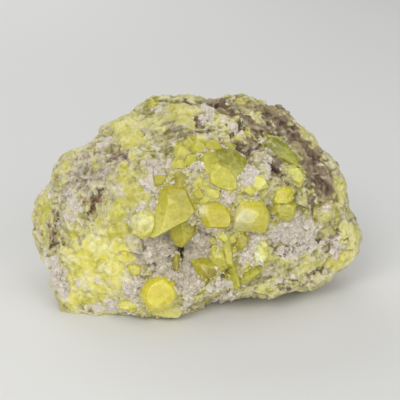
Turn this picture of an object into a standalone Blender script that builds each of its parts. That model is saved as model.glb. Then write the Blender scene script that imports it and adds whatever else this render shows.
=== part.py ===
"""A hand specimen of native sulfur: blocky yellow crystals on a lump of pale rock.

The specimen is described on its own leaning face: u runs right, v runs up the face and w comes
out of it, in millimetres from the middle of the face. The rock stands on a flat broken base.
"""

import math
import random

import bmesh
import bpy
import numpy as np
from mathutils import Matrix, Vector, noise
from mathutils.bvhtree import BVHTree

MM = 0.001

# Driving dimensions, in millimetres and degrees.
FACE_LEAN = 20.0  # the crystal face leans back this far from upright
FACE_MIDDLE = (0.2, 0.5, 28.0)  # where the middle of the face stands above the base
FRONT_DEPTH = 26.5  # from the middle plane out to the crystal face
BACK_DEPTH = 33.0  # from the middle plane to the broken back
GAP = 0.3  # clearance round every crystal in its socket
ROCK_TRIANGLES = 3700

# The outline of the lump on the face plane, clockwise from the lower left.
OUTLINE = (
    (-45.3, -29.7), (-47.3, -23.4), (-48.0, -20.9), (-52.2, -16.9), (-53.2, -14.5), (-53.6, -9.2),
    (-54.5, -5.7), (-53.6, -1.3), (-51.5, 3.9), (-48.0, 6.9), (-47.3, 11.4), (-44.5, 15.0),
    (-40.6, 17.7), (-36.0, 19.0), (-32.6, 21.9), (-30.3, 24.5), (-25.8, 26.7), (-21.4, 29.3),
    (-20.0, 31.6), (-17.3, 33.5), (-13.2, 34.8), (-7.3, 34.3), (-3.5, 34.6), (5.1, 34.6),
    (9.1, 35.5), (13.3, 35.8), (17.7, 35.0), (22.9, 33.8), (27.4, 33.5), (31.3, 30.6),
    (33.4, 26.8), (37.9, 23.1), (40.8, 18.2), (44.8, 13.7), (47.4, 9.2), (48.7, 3.9),
    (50.0, -2.0), (52.6, -5.9), (53.6, -10.3), (52.8, -14.5), (51.5, -15.6), (52.3, -18.6),
    (49.4, -21.0), (44.9, -23.1), (38.7, -26.3), (34.5, -27.6), (27.4, -27.8), (18.5, -28.8),
    (13.2, -30.8), (6.6, -30.2), (3.9, -32.7), (-1.0, -36.0), (-11.7, -37.4), (-25.3, -36.6),
    (-37.0, -36.0), (-43.4, -34.6),
)

# Flat fractures that chop the lump: the direction they face (u, v, w) and how far out they lie.
FRACTURES = (
    ((0.10, 0.55, -0.83), 31.0),
    ((0.05, -0.25, -0.97), 29.5),
    ((-0.62, 0.30, -0.72), 39.0),
    ((0.74, 0.15, -0.66), 43.0),
    ((-0.30, 0.90, -0.35), 33.5),
    ((0.45, 0.86, -0.25), 35.5),
    ((0.60, -0.60, -0.52), 37.0),
    ((-0.60, -0.50, -0.62), 39.0),
    ((-0.15, 0.10, -0.98), 30.5),
    ((0.86, 0.10, 0.50), 44.5),
    ((-0.85, 0.10, 0.52), 43.5),
    ((-0.45, 0.62, 0.64), 32.5),
    ((0.30, 0.52, 0.80), 30.5),
    ((0.42, -0.25, 0.87), 28.5),
    ((-0.30, -0.10, 0.95), 27.0),
)

# Swellings (+) and hollows (-) of the face: u, v, reach along, reach across, turn, height.
SWELLINGS = (
    (-31.0, -19.0, 12.0, 11.0, 20.0, 2.4),  # massive sulfur at the lower left
    (-22.5, 23.0, 5.5, 5.0, 30.0, 1.8),  # yellow knob on the left shoulder
    (-49.0, -4.0, 3.5, 8.0, 0.0, 1.4),  # yellow lip down the left edge
    (-33.0, 4.0, 4.0, 9.0, -35.0, -1.3),  # brown vein weathered in
    (-13.5, 10.0, 4.5, 5.0, 0.0, 1.2),
    (12.0, 26.0, 12.0, 4.5, 8.0, 2.2),  # pale rib under the crest
    (14.0, 18.0, 7.0, 2.4, -10.0, -1.5),  # ledge shadow below the rib
    (19.5, 5.5, 6.0, 6.0, 0.0, 1.2),
    (41.5, -1.5, 4.6, 4.6, 0.0, 3.0),  # knob on the right
    (36.0, 13.0, 3.6, 13.0, 32.0, -1.7),  # weathered brown band down the right shoulder
    (29.0, -9.0, 9.0, 6.0, 0.0, 1.2),
    (27.0, -24.0, 15.0, 3.4, 9.0, 1.6),  # lip along the lower right
    (-18.0, -29.0, 5.0, 4.0, 0.0, 1.0),
    (17.0, -13.0, 4.0, 5.0, 0.0, 1.2),
)

# Open cracks: how wide, how deep, and the points they run through on the face.
CRACKS = (
    (1.3, 2.2, ((43.5, -3.5), (46.0, -8.0), (49.5, -13.0))),
    (1.2, 1.8, ((34.0, 4.5), (36.5, 0.0), (38.0, -4.0))),
    (1.0, 1.8, ((12.8, 27.0), (15.5, 22.5), (17.8, 19.5))),
    (0.9, 1.5, ((8.5, 23.5), (11.0, 22.0), (13.5, 23.5))),
    (1.0, 1.6, ((-36.0, 3.5), (-33.5, -1.5), (-31.5, -4.5))),
    (1.2, 1.4, ((-16.0, 33.0), (-7.0, 33.6), (2.0, 33.2))),
    (1.0, 1.4, ((24.0, 12.0), (26.5, 8.5), (28.5, 4.5))),
    (0.9, 1.2, ((22.0, -25.5), (32.0, -24.0), (42.0, -20.5))),
)

# The hollow among the large crystals, and the crust of white spar that lines it.
HOLLOW_MIDDLE = (-4.5, -15.5, 26.5)
HOLLOW_REACH = (15.0, 10.5, 9.0)  # along, across and into the rock
HOLLOW_TURN = -33.0
CRUST_THICKNESS = 1.4
CRUST_POINTS = 1.2  # how far its crystal points stand up
CRUST_TOP = 22.0  # how far up the hollow's side the crust grows

# Orthorhombic sulfur: its axes a : b : c, and the faces of a small crystal with their distances.
AXES = (0.813, 1.0, 1.903)
SMALL_FACES = (((1, 1, 1), 0.64), ((0, 0, 1), 0.95))

# Beds of small sulfur crystals and lumps grown into the rock:
# u, v, spread along u, spread along v, how many, smallest and largest size.
BEDS = (
    (-31.5, -18.5, 12.0, 11.0, 19, 1.5, 2.6),
    (-38.5, -29.5, 4.0, 1.5, 3, 1.8, 2.4),
    (-22.0, 23.0, 4.0, 4.5, 5, 1.8, 2.8),
    (-48.5, -3.0, 2.5, 8.0, 4, 1.4, 2.2),
    (-8.5, 27.5, 4.0, 2.0, 3, 1.4, 2.2),
    (10.0, 27.0, 9.0, 3.0, 4, 1.5, 2.4),
    (-17.0, -4.5, 3.0, 3.5, 3, 2.0, 2.8),
    (-12.5, 11.5, 3.0, 2.0, 3, 1.3, 2.0),
    (47.0, -9.0, 2.5, 8.0, 4, 1.6, 2.6),
    (41.5, -1.5, 2.0, 2.0, 2, 2.6, 3.2),
    (25.0, -25.5, 16.0, 2.0, 6, 1.3, 2.0),
    (18.0, 6.0, 3.5, 4.0, 4, 1.5, 2.3),
    (2.0, -28.5, 4.0, 1.8, 3, 1.3, 2.0),
    (26.0, 27.0, 7.0, 5.0, 4, 1.3, 2.2),
    (-38.0, 12.0, 6.0, 4.0, 4, 1.2, 1.9),
)

# The large crystals. Each is the space inside its faces. The rim is its outline on the face,
# clockwise, and with every corner goes the lean of the side that starts there: 0 stands
# straight out of the rock and 60 is nearly flat. The front faces are the way they face and
# their distance from the crystal's middle. Crystals grown together share one solid.
CRYSTALS = {
    "sulfur_big": [
        dict(
            level=26.2,
            depth=9.0,
            rim=(
                (-12.0, 2.9, 40), (-11.1, 5.6, 36), (-8.8, 7.3, 38), (-5.4, 7.3, 28), (-3.0, 5.9, 18),
                (-1.8, 3.2, 14), (-0.2, -1.4, 4), (-2.7, -4.5, 4), (-7.6, -7.2, 6), (-13.0, -9.9, 20),
                (-14.3, -9.6, 34), (-13.3, -5.1, 40),
            ),
            front=((-0.05, 0.30, 0.95, 4.6), (0.10, -0.14, 0.98, 4.3), (-0.55, 0.00, 0.83, 4.8)),
        ),
        dict(
            level=24.8,
            depth=6.0,
            rim=(
                (-20.2, -5.1, 30), (-18.9, -2.3, 34), (-16.5, -1.1, 30), (-13.0, -2.0, 20),
                (-12.0, -5.1, 16), (-13.1, -9.1, 26), (-16.5, -10.3, 34), (-19.5, -8.5, 36),
            ),
            front=((-0.10, 0.10, 0.98, 2.6), (-0.40, -0.25, 0.88, 2.9)),
        ),
        dict(
            level=25.5,
            depth=5.0,
            rim=(
                (-8.4, 7.8, 24), (-7.3, 9.9, 30), (-4.8, 10.7, 30), (-2.4, 9.9, 24), (-1.8, 7.4, 16),
                (-3.0, 5.0, 10), (-7.0, 5.4, 10),
            ),
            front=((0.10, 0.30, 0.95, 2.0), (-0.40, 0.20, 0.90, 2.2)),
        ),
    ],
    "sulfur_tucked": [
        dict(
            level=24.2,
            depth=6.0,
            rim=(
                (-3.4, -4.0, 10), (-0.7, -2.6, 14), (0.2, -5.8, 22), (-1.0, -9.5, 20),
                (-4.6, -12.9, 30), (-6.7, -12.1, 38), (-8.4, -8.5, 24), (-7.2, -5.6, 10),
            ),
            front=((0.30, -0.15, 0.94, 2.6), (-0.40, -0.25, 0.88, 2.6)),
        ),
    ],
    "sulfur_middle": [
        dict(
            level=26.0,
            depth=7.0,
            rim=(
                (-1.5, 1.0, 40), (2.8, 2.1, 40), (8.0, 1.6, 24), (10.0, -1.0, 10), (10.6, -3.5, 6),
                (10.2, -6.4, 8), (7.7, -7.1, 12), (3.4, -7.2, 14), (1.3, -5.1, 24), (0.1, -2.3, 28),
            ),
            front=((0.10, 0.02, 0.99, 4.0), (-0.72, 0.08, 0.69, 4.7)),
        ),
    ],
    "sulfur_right": [
        dict(
            level=25.6,
            depth=8.0,
            rim=(
                (11.0, -2.9, 16), (12.0, 0.4, 30), (13.4, 2.4, 40), (16.6, 2.7, 36), (19.9, 1.3, 30),
                (22.2, -2.3, 22), (21.9, -5.4, 24), (20.8, -8.4, 30), (16.3, -8.0, 26), (11.3, -7.7, 10),
            ),
            front=(
                (-0.12, 0.04, 0.99, 4.8), (-0.30, 0.56, 0.77, 5.1), (0.62, 0.36, 0.70, 4.8),
                (0.50, -0.45, 0.74, 4.8), (0.18, -0.50, 0.85, 5.3),
            ),
        ),
    ],
    "sulfur_upper": [
        dict(
            level=26.6,
            depth=7.0,
            rim=(
                (2.7, 11.4, 24), (3.7, 12.9, 22), (6.2, 13.7, 18), (9.5, 12.0, 12), (12.3, 8.0, 14),
                (12.4, 5.0, 16), (10.4, 4.2, 10), (5.9, 5.4, 10), (3.4, 7.4, 18),
            ),
            front=((0.14, -0.12, 0.98, 3.2), (-0.35, 0.30, 0.89, 4.2)),
        ),
        dict(
            level=25.0,
            depth=6.0,
            rim=(
                (-0.4, 13.9, 36), (1.9, 16.6, 40), (5.9, 17.7, 38), (10.8, 17.1, 36), (14.7, 14.5, 30),
                (15.4, 11.4, 22), (14.1, 7.8, 14), (9.5, 7.6, 10), (3.0, 9.0, 12),
            ),
            front=((0.02, 0.34, 0.94, 3.1), (0.34, 0.05, 0.94, 3.7)),
        ),
        dict(
            level=24.8,
            depth=5.0,
            rim=(
                (-6.0, 12.8, 34), (-4.0, 15.8, 38), (-0.5, 16.6, 30), (1.6, 14.0, 14), (0.4, 11.4, 12),
                (-3.4, 10.8, 24),
            ),
            front=((-0.10, 0.26, 0.96, 2.4), (-0.42, -0.05, 0.90, 2.8)),
        ),
    ],
    "sulfur_wedged": [
        dict(
            level=26.2,
            depth=6.0,
            rim=(
                (-2.2, 2.9, 20), (0.1, 4.9, 30), (3.7, 5.4, 30), (6.4, 4.5, 24), (7.0, 1.4, 10),
                (2.0, 0.4, 10), (-1.6, 0.6, 14),
            ),
            front=((0.10, -0.12, 0.99, 2.2), (0.35, 0.10, 0.93, 2.6)),
        ),
    ],
    "sulfur_front": [
        dict(
            level=22.4,
            depth=8.0,
            rim=(
                (-15.0, -23.4, 24), (-12.2, -21.7, 20), (-9.3, -22.0, 26), (-6.9, -23.9, 22),
                (-5.7, -26.9, 16), (-6.0, -28.8, 20), (-7.6, -31.2, 24), (-11.2, -32.7, 22),
                (-14.3, -32.6, 26), (-16.2, -30.6, 24), (-17.4, -27.5, 30), (-16.7, -25.4, 26),
            ),
            front=((0.06, 0.10, 0.99, 3.6), (0.28, -0.16, 0.95, 4.2), (-0.40, 0.16, 0.90, 5.2)),
        ),
        dict(
            level=19.2,
            depth=7.0,
            rim=(
                (-9.0, -27.0, 30), (-5.0, -29.0, 30), (-3.8, -30.6, 20), (-3.6, -32.4, 16),
                (-5.9, -35.0, 14), (-10.7, -34.7, 18), (-13.9, -34.0, 24), (-15.8, -32.3, 30),
            ),
            front=((0.10, -0.30, 0.95, 2.0), (0.35, 0.05, 0.94, 2.4)),
        ),
        dict(
            level=19.0,
            depth=5.0,
            rim=(
                (-24.6, -30.5, 24), (-22.1, -29.1, 30), (-17.1, -29.0, 20), (-13.7, -31.1, 14),
                (-14.0, -34.1, 20), (-19.0, -33.3, 16), (-24.0, -32.2, 16),
            ),
            front=((-0.10, 0.30, 0.95, 1.9), (0.05, -0.25, 0.96, 2.0)),
        ),
    ],
    "sulfur_blade": [
        dict(
            level=20.6,
            depth=5.0,
            rim=(
                (-6.3, -14.1, 30), (-5.0, -16.1, 20), (-5.1, -18.9, 16), (-6.1, -21.4, 30),
                (-7.8, -19.8, 24), (-8.0, -17.0, 26),
            ),
            front=((0.35, 0.10, 0.93, 2.2), (-0.45, -0.05, 0.89, 2.0)),
        ),
    ],
    "sulfur_small_left": [
        dict(
            level=21.6,
            depth=5.0,
            rim=(
                (-21.5, -18.4, 26), (-18.6, -17.5, 30), (-16.4, -18.9, 24), (-17.0, -21.3, 20),
                (-19.4, -22.3, 24), (-20.9, -20.7, 26),
            ),
            front=((-0.10, 0.05, 0.99, 2.0),),
        ),
    ],
    "sulfur_lower_group": [
        dict(
            level=22.2,
            depth=6.0,
            rim=(
                (-1.8, -17.0, 36), (2.2, -15.9, 34), (6.0, -17.4, 26), (6.9, -21.0, 30),
                (4.6, -23.8, 34), (2.0, -23.0, 36), (-0.3, -20.6, 38),
            ),
            front=((-0.08, 0.16, 0.98, 3.2), (0.40, -0.25, 0.88, 3.0)),
        ),
        dict(
            level=23.6,
            depth=6.0,
            rim=(
                (3.9, -13.6, 20), (5.6, -12.3, 26), (8.1, -13.2, 20), (9.8, -15.6, 16),
                (10.2, -18.6, 26), (7.5, -20.4, 30), (4.6, -18.0, 24),
            ),
            front=((-0.20, 0.30, 0.93, 2.8), (0.45, 0.05, 0.89, 2.9), (-0.10, -0.45, 0.89, 2.6)),
        ),
        dict(
            level=24.2,
            depth=7.0,
            rim=(
                (6.9, -7.9, 20), (10.3, -8.0, 12), (10.8, -10.0, 8), (11.0, -16.0, 12),
                (11.2, -19.0, 20), (9.0, -18.4, 14), (7.2, -13.4, 30), (6.6, -10.4, 34),
            ),
            front=((0.12, 0.02, 0.99, 2.6), (-0.55, 0.05, 0.84, 2.6)),
        ),
        dict(
            level=22.0,
            depth=5.5,
            rim=(
                (10.0, -16.4, 14), (11.6, -18.0, 12), (13.2, -22.9, 10), (13.4, -25.1, 20),
                (11.8, -26.2, 26), (10.6, -22.9, 40), (9.8, -19.0, 40),
            ),
            front=((-0.30, 0.10, 0.95, 2.4),),
        ),
        dict(
            level=20.4,
            depth=5.0,
            rim=(
                (12.4, -22.8, 30), (15.6, -20.2, 36), (18.4, -19.3, 30), (20.4, -20.3, 20),
                (17.5, -22.7, 14), (12.8, -25.6, 14),
            ),
            front=((0.10, 0.40, 0.91, 2.0), (-0.05, -0.40, 0.91, 2.2)),
        ),
    ],
    "sulfur_mid_small": [
        dict(
            level=23.8,
            depth=5.0,
            rim=(
                (11.6, -8.4, 26), (14.2, -7.9, 30), (16.0, -9.4, 22), (15.7, -12.5, 24),
                (13.6, -14.0, 26), (11.6, -12.6, 20),
            ),
            front=((0.20, 0.10, 0.97, 2.2), (-0.35, -0.15, 0.92, 2.4)),
        ),
    ],
    "sulfur_right_pair": [
        dict(
            level=22.6,
            depth=6.0,
            rim=(
                (23.2, 2.6, 22), (24.1, 5.3, 30), (26.6, 6.3, 30), (29.0, 5.0, 24), (29.8, 2.3, 20),
                (27.8, -0.1, 14), (24.1, 0.2, 14),
            ),
            front=((-0.10, 0.16, 0.98, 2.8), (0.42, -0.05, 0.91, 3.0)),
        ),
        dict(
            level=21.4,
            depth=5.5,
            rim=(
                (23.6, 1.1, 20), (27.9, 1.4, 18), (30.4, -0.3, 18), (30.4, -3.0, 24), (28.2, -4.4, 30),
                (25.1, -4.3, 30), (23.4, -1.8, 26),
            ),
            front=((0.05, -0.20, 0.98, 2.4), (-0.42, 0.10, 0.90, 3.4)),
        ),
    ],
    "sulfur_green_upper": [
        dict(
            level=18.4,
            depth=5.5,
            rim=(
                (20.2, 20.2, 30), (23.5, 21.4, 34), (27.9, 19.0, 30), (31.3, 14.9, 20), (32.2, 11.6, 14),
                (29.6, 12.1, 16), (25.2, 14.8, 20), (21.6, 17.4, 24),
            ),
            front=((0.20, 0.30, 0.93, 2.2), (-0.20, -0.10, 0.97, 2.2)),
        ),
    ],
    "sulfur_pale_upper": [
        dict(
            level=21.0,
            depth=5.0,
            rim=(
                (26.6, 11.4, 20), (29.2, 12.0, 20), (31.8, 11.4, 22), (33.4, 9.0, 20), (32.3, 6.4, 22),
                (29.8, 7.1, 20), (27.4, 9.0, 24),
            ),
            front=((0.25, 0.10, 0.96, 1.9), (-0.30, -0.10, 0.95, 2.2)),
        ),
    ],
    "sulfur_lemon_low": [
        dict(
            level=21.8,
            depth=5.0,
            rim=(
                (17.4, -12.8, 26), (19.6, -11.7, 30), (21.7, -13.2, 24), (22.0, -16.3, 22),
                (20.5, -18.6, 24), (17.7, -18.4, 26), (16.8, -15.7, 28),
            ),
            front=((0.10, 0.14, 0.98, 2.4), (-0.40, -0.20, 0.89, 2.6)),
        ),
    ],
}
UNDERCUT = 13.0  # how far the hidden sides draw in below the rim

ROCK_COLOUR = (0.58, 0.55, 0.40)
SPAR_COLOUR = (0.66, 0.62, 0.60)
SULFUR_COLOUR = (0.66, 0.60, 0.06)


# ---- helpers ----


def face_frame():
    """The matrix from the leaning face's (u, v, w) in millimetres to the world in metres."""
    lean = math.radians(FACE_LEAN)
    right = Vector((1, 0, 0))
    up = Vector((0, math.sin(lean), math.cos(lean)))
    out = Vector((0, -math.cos(lean), math.sin(lean)))
    frame = Matrix((right, up, out)).transposed().to_4x4()
    frame.translation = Vector(FACE_MIDDLE)
    return Matrix.Scale(MM, 4) @ frame


def clear_scene():
    for obj in list(bpy.data.objects):
        bpy.data.objects.remove(obj, do_unlink=True)


def new_material(name, colour, roughness):
    material = bpy.data.materials.new(name)
    material.use_nodes = True
    shader = material.node_tree.nodes["Principled BSDF"]
    shader.inputs["Base Color"].default_value = (*colour, 1.0)
    shader.inputs["Roughness"].default_value = roughness
    return material


def new_object(name, bm):
    mesh = bpy.data.meshes.new(name)
    bm.to_mesh(mesh)
    bm.free()
    obj = bpy.data.objects.new(name, mesh)
    bpy.context.scene.collection.objects.link(obj)
    return obj


def apply_modifier(obj, modifier):
    bpy.context.view_layer.objects.active = obj
    bpy.ops.object.modifier_apply(modifier=modifier.name)


def combine(obj, operation, tool, solver="EXACT"):
    """Cuts the object with the tool or joins them, and removes the tool."""
    modifier = obj.modifiers.new(operation.title(), "BOOLEAN")
    modifier.operation = operation
    modifier.object = tool
    modifier.solver = solver
    apply_modifier(obj, modifier)
    bpy.data.objects.remove(tool, do_unlink=True)


def piece_around(face):
    """Every face joined to this one across edges."""
    piece = {face}
    front = [face]
    while front:
        for edge in front.pop().edges:
            for other in edge.link_faces:
                if other not in piece:
                    piece.add(other)
                    front.append(other)
    return piece


def keep_largest_piece(obj):
    """Removes the crumbs that cutting leaves beside the main piece."""
    bm = bmesh.new()
    bm.from_mesh(obj.data)
    pieces = []
    unseen = set(bm.faces)
    while unseen:
        piece = piece_around(next(iter(unseen)))
        unseen -= piece
        pieces.append(piece)
    pieces.sort(key=len)
    for piece in pieces[:-1]:
        bmesh.ops.delete(bm, geom=list(piece), context="FACES")
    bmesh.ops.triangulate(bm, faces=bm.faces[:])
    bm.to_mesh(obj.data)
    bm.free()


def ease(x):
    """A smooth step from 0 to 1."""
    x = min(1.0, max(0.0, x))
    return x * x * (3 - 2 * x)


# ---- the rock ----


OUTLINE_ANGLES, OUTLINE_RADII = np.array(
    sorted((math.atan2(v, u), math.hypot(u, v)) for u, v in OUTLINE)
).T


def outline_radius(angle):
    """How far the outline lies from the middle of the face in that direction."""
    return float(np.interp(angle, OUTLINE_ANGLES, OUTLINE_RADII, period=2 * math.pi))


def lump_radius(direction):
    """The outline, bulged out to the front and the back, with its flat fractures."""
    u, v, w = direction
    across = math.hypot(u, v) / outline_radius(math.atan2(v, u))
    power = 3.0 if w > 0 else 2.8
    depth = abs(w) / (FRONT_DEPTH if w > 0 else BACK_DEPTH)
    radius = (across**power + depth**power) ** (-1 / power)
    broken = radius
    for facing, distance in FRACTURES:
        cosine = direction.dot(Vector(facing).normalized())
        if cosine > 0:
            broken = min(broken, distance / cosine)
    return radius + (broken - radius) * ease(abs(w) / 0.15)


def swelling(u, v):
    """The height of the face's swellings and hollows at a point on it."""
    height = 0.0
    for middle_u, middle_v, along, across, turn, rise in SWELLINGS:
        c, s = math.cos(math.radians(turn)), math.sin(math.radians(turn))
        du, dv = u - middle_u, v - middle_v
        reach = ((du * c + dv * s) / along) ** 2 + ((dv * c - du * s) / across) ** 2
        height += rise * math.exp(-1.2 * reach * reach)
    return height


def crack(u, v):
    """The depth of the open cracks at a point on the face."""
    here = Vector((u, v, 0))
    depth = 0.0
    for width, deep, points in CRACKS:
        for start, end in zip(points, points[1:]):
            a, b = Vector((*start, 0)), Vector((*end, 0))
            along = min(1.0, max(0.0, (here - a).dot(b - a) / (b - a).length_squared))
            away = (here - a.lerp(b, along)).length
            depth = max(depth, deep * (1 - ease(away / width)))
    return depth


def plates(point, size, tilt):
    """Relief like that of broken rock: each cell of the stone ends in a plate of its own tilt."""
    nearest = noise.voronoi(point / size)[1][0]
    seed = nearest * 7.3
    lean = Vector([noise.noise(seed + Vector((shift, 0, 0))) for shift in (0.0, 31.4, 62.8)])
    return tilt * lean.dot(point - nearest * size)


def rock_point(direction):
    """A point of the rock's surface, on the face frame in millimetres."""
    point = direction * lump_radius(direction)
    relief = plates(point, 12.0, 0.32) + plates(point + Vector((40, 0, 0)), 5.0, 0.36)
    relief += 0.5 * noise.fractal(point / 6.0, 1.0, 2.0, 3)
    if direction.z > 0:
        relief += swelling(point.x, point.y) * min(1.0, 3 * direction.z)
        relief -= crack(point.x, point.y) * min(1.0, 4 * direction.z)
    return point + direction * relief


def rock(frame):
    """The lump, thinned to few triangles."""
    bm = bmesh.new()
    bmesh.ops.create_icosphere(bm, subdivisions=7, radius=1.0)
    for vertex in bm.verts:
        vertex.co = frame @ rock_point(vertex.co.normalized())
    obj = new_object("matrix_rock", bm)
    thinning = obj.modifiers.new("Thinning", "DECIMATE")
    thinning.ratio = ROCK_TRIANGLES / len(obj.data.polygons)
    apply_modifier(obj, thinning)
    return obj


def hollow_solid(frame, inset=0.0, points=0.0):
    """The rounded space of the hollow, or the same space set in from its wall by the inset. With
    points, its wall is finer and bristles inwards."""
    chance = random.Random(3)
    bm = bmesh.new()
    bmesh.ops.create_icosphere(bm, subdivisions=4 if points else 3, radius=1.0)
    for vertex in bm.verts:
        uneven = 1 + 0.2 * noise.noise(vertex.co * 1.6)
        inwards = inset + points * chance.random()
        vertex.co = [x * uneven * (reach - inwards) for x, reach in zip(vertex.co, HOLLOW_REACH)]
    turn = Matrix.Rotation(math.radians(HOLLOW_TURN), 4, "Z")
    pose = Matrix.Translation(Vector(HOLLOW_MIDDLE)) @ turn
    bmesh.ops.transform(bm, matrix=frame @ pose, verts=bm.verts[:])
    return new_object("hollow", bm)


def cut_flat(obj):
    """Cuts off what lies below the ground."""
    bm = bmesh.new()
    bmesh.ops.create_cube(bm, size=0.2)
    bmesh.ops.translate(bm, vec=(0, 0, -0.1), verts=bm.verts[:])
    combine(obj, "DIFFERENCE", new_object("ground", bm))


# ---- the crystals ----


def space_inside(name, frame, middle, planes, grow):
    """The solid inside the planes, each a point on it and the way it faces."""
    bm = bmesh.new()
    bmesh.ops.create_cube(bm, size=90.0)
    bmesh.ops.translate(bm, vec=middle, verts=bm.verts[:])
    for point, facing in planes:
        facing = facing.normalized()
        cut = bmesh.ops.bisect_plane(
            bm,
            geom=bm.verts[:] + bm.edges[:] + bm.faces[:],
            plane_co=point + facing * grow,
            plane_no=facing,
            clear_outer=True,
        )
        rim = [item for item in cut["geom_cut"] if isinstance(item, bmesh.types.BMEdge)]
        if len(rim) > 2:
            bmesh.ops.contextual_create(bm, geom=rim)
    bmesh.ops.remove_doubles(bm, verts=bm.verts[:], dist=0.05)
    bmesh.ops.recalc_face_normals(bm, faces=bm.faces[:])
    bmesh.ops.transform(bm, matrix=frame, verts=bm.verts[:])
    return new_object(name, bm)


def crystal_solid(name, frame, spec, grow=0.0):
    """One large crystal from its rim and front faces."""
    rim, level = spec["rim"], spec["level"]
    middle = Vector((sum(c[0] for c in rim) / len(rim), sum(c[1] for c in rim) / len(rim), level))
    planes = []
    for (u, v, lean), (next_u, next_v, _) in zip(rim, rim[1:] + rim[:1]):
        corner = Vector((u, v, level))
        outward = Vector((v - next_v, next_u - u, 0)).normalized()
        planes.append((corner, outward + Vector((0, 0, math.tan(math.radians(lean))))))
        planes.append((corner, outward - Vector((0, 0, math.tan(math.radians(UNDERCUT))))))
    for *facing, distance in spec["front"]:
        facing = Vector(facing).normalized()
        planes.append((middle + facing * distance, facing))
    planes.append((middle - Vector((0, 0, spec["depth"])), Vector((0, 0, -1))))
    return space_inside(name, frame, middle, planes, grow)


def group_solid(name, frame, members, grow=0.0):
    """Crystals grown together, as one solid."""
    obj = crystal_solid(name, frame, members[0], grow)
    for member in members[1:]:
        combine(obj, "UNION", crystal_solid("member", frame, member, grow))
    return obj


def rim_corners(members):
    return [Vector(corner[:2]) for member in members for corner in member["rim"]]


def near(members, others):
    """Whether any crystal of one group comes close to the other group."""
    corners = rim_corners(others)
    return any((a - b).length < 8.0 for a in rim_corners(members) for b in corners)


def large_crystals(frame, material):
    """Every large crystal or group. One that meets an earlier one grew up against it."""
    names = list(CRYSTALS)
    for index, name in enumerate(names):
        obj = group_solid(name, frame, CRYSTALS[name])
        for earlier in names[:index]:
            if near(CRYSTALS[name], CRYSTALS[earlier]):
                combine(obj, "DIFFERENCE", group_solid("earlier", frame, CRYSTALS[earlier], GAP))
        keep_largest_piece(obj)
        obj.data.materials.append(material)


def cut_sockets(obj, frame, solver="EXACT"):
    """Makes room in the object for every large crystal, with the gap all round."""
    for members in CRYSTALS.values():
        for member in members:
            combine(obj, "DIFFERENCE", crystal_solid("socket", frame, member, GAP), solver)


def small_crystal(frame, place, axis, twist, size):
    """A small sulfur crystal with the faces of its system."""
    turn = Vector((0, 0, 1)).rotation_difference(axis).to_matrix()
    turn = turn @ Matrix.Rotation(twist, 3, "Z")
    planes = []
    for indices, distance in SMALL_FACES:
        facings = set()
        for signs in ((a, b, c) for a in (1, -1) for b in (1, -1) for c in (1, -1)):
            facings.add(tuple(s * i / x + 0.0 for s, i, x in zip(signs, indices, AXES)))
        for facing in sorted(facings):
            facing = turn @ Vector(facing).normalized()
            planes.append((place + facing * distance * size, facing))
    return space_inside("small", frame, place, planes, 0.0)


def grow_small_crystals(obj, frame):
    """Fuses the beds of small crystals to the rock, each half sunk in its face."""
    chance = random.Random(7)
    back = frame.inverted()
    outward = (frame.to_3x3() @ Vector((0, 0, 1))).normalized()
    bm = bmesh.new()
    bm.from_mesh(obj.data)
    surface = BVHTree.FromBMesh(bm)
    bm.free()
    for bed_u, bed_v, spread_u, spread_v, count, smallest, largest in BEDS:
        for _ in range(count):
            u = bed_u + spread_u * chance.uniform(-1, 1)
            v = bed_v + spread_v * chance.uniform(-1, 1)
            size = chance.uniform(smallest, largest)
            lean = Vector([chance.gauss(0, 0.6) for _ in range(3)])
            twist = chance.uniform(0, math.pi)
            hit, normal, _, _ = surface.ray_cast(frame @ Vector((u, v, 60)), -outward)
            if hit is None:
                continue
            facing = (back.to_3x3() @ normal).normalized()
            place = back @ hit - facing * size * 0.15
            axis = (facing + lean).normalized()
            combine(obj, "UNION", small_crystal(frame, place, axis, twist, size))


# ---- the crust of the hollow ----


def crust(frame):
    """A sheet of spar on the hollow's floor and sides, with crystal points standing up on it."""
    sheet = hollow_solid(frame, GAP)
    sheet.name = "spar_crust"
    space = hollow_solid(frame, GAP + CRUST_THICKNESS, CRUST_POINTS)
    combine(sheet, "DIFFERENCE", space, "MANIFOLD")
    bm = bmesh.new()
    bmesh.ops.create_cube(bm, size=40.0)
    bmesh.ops.translate(bm, vec=(HOLLOW_MIDDLE[0], HOLLOW_MIDDLE[1], CRUST_TOP + 20.0), verts=bm.verts[:])
    bmesh.ops.subdivide_edges(bm, edges=bm.edges[:], cuts=26, use_grid_fill=True)
    for vertex in bm.verts:
        vertex.co.z += 1.8 * noise.noise(vertex.co * 0.3)
    bmesh.ops.transform(bm, matrix=frame, verts=bm.verts[:])
    combine(sheet, "DIFFERENCE", new_object("above", bm), "MANIFOLD")
    return sheet


def main():
    clear_scene()
    frame = face_frame()
    lump = rock(frame)
    grow_small_crystals(lump, frame)
    combine(lump, "DIFFERENCE", hollow_solid(frame))
    cut_sockets(lump, frame)
    cut_flat(lump)
    keep_largest_piece(lump)
    lump.data.materials.append(new_material("rock", ROCK_COLOUR, 0.9))
    lining = crust(frame)
    cut_sockets(lining, frame, "MANIFOLD")
    keep_largest_piece(lining)
    lining.data.materials.clear()
    lining.data.materials.append(new_material("spar", SPAR_COLOUR, 0.6))
    large_crystals(frame, new_material("sulfur", SULFUR_COLOUR, 0.3))


main()
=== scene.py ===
import math
import random

import bmesh
import bpy
import numpy as np
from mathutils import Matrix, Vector, noise
from mathutils.bvhtree import BVHTree


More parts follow.
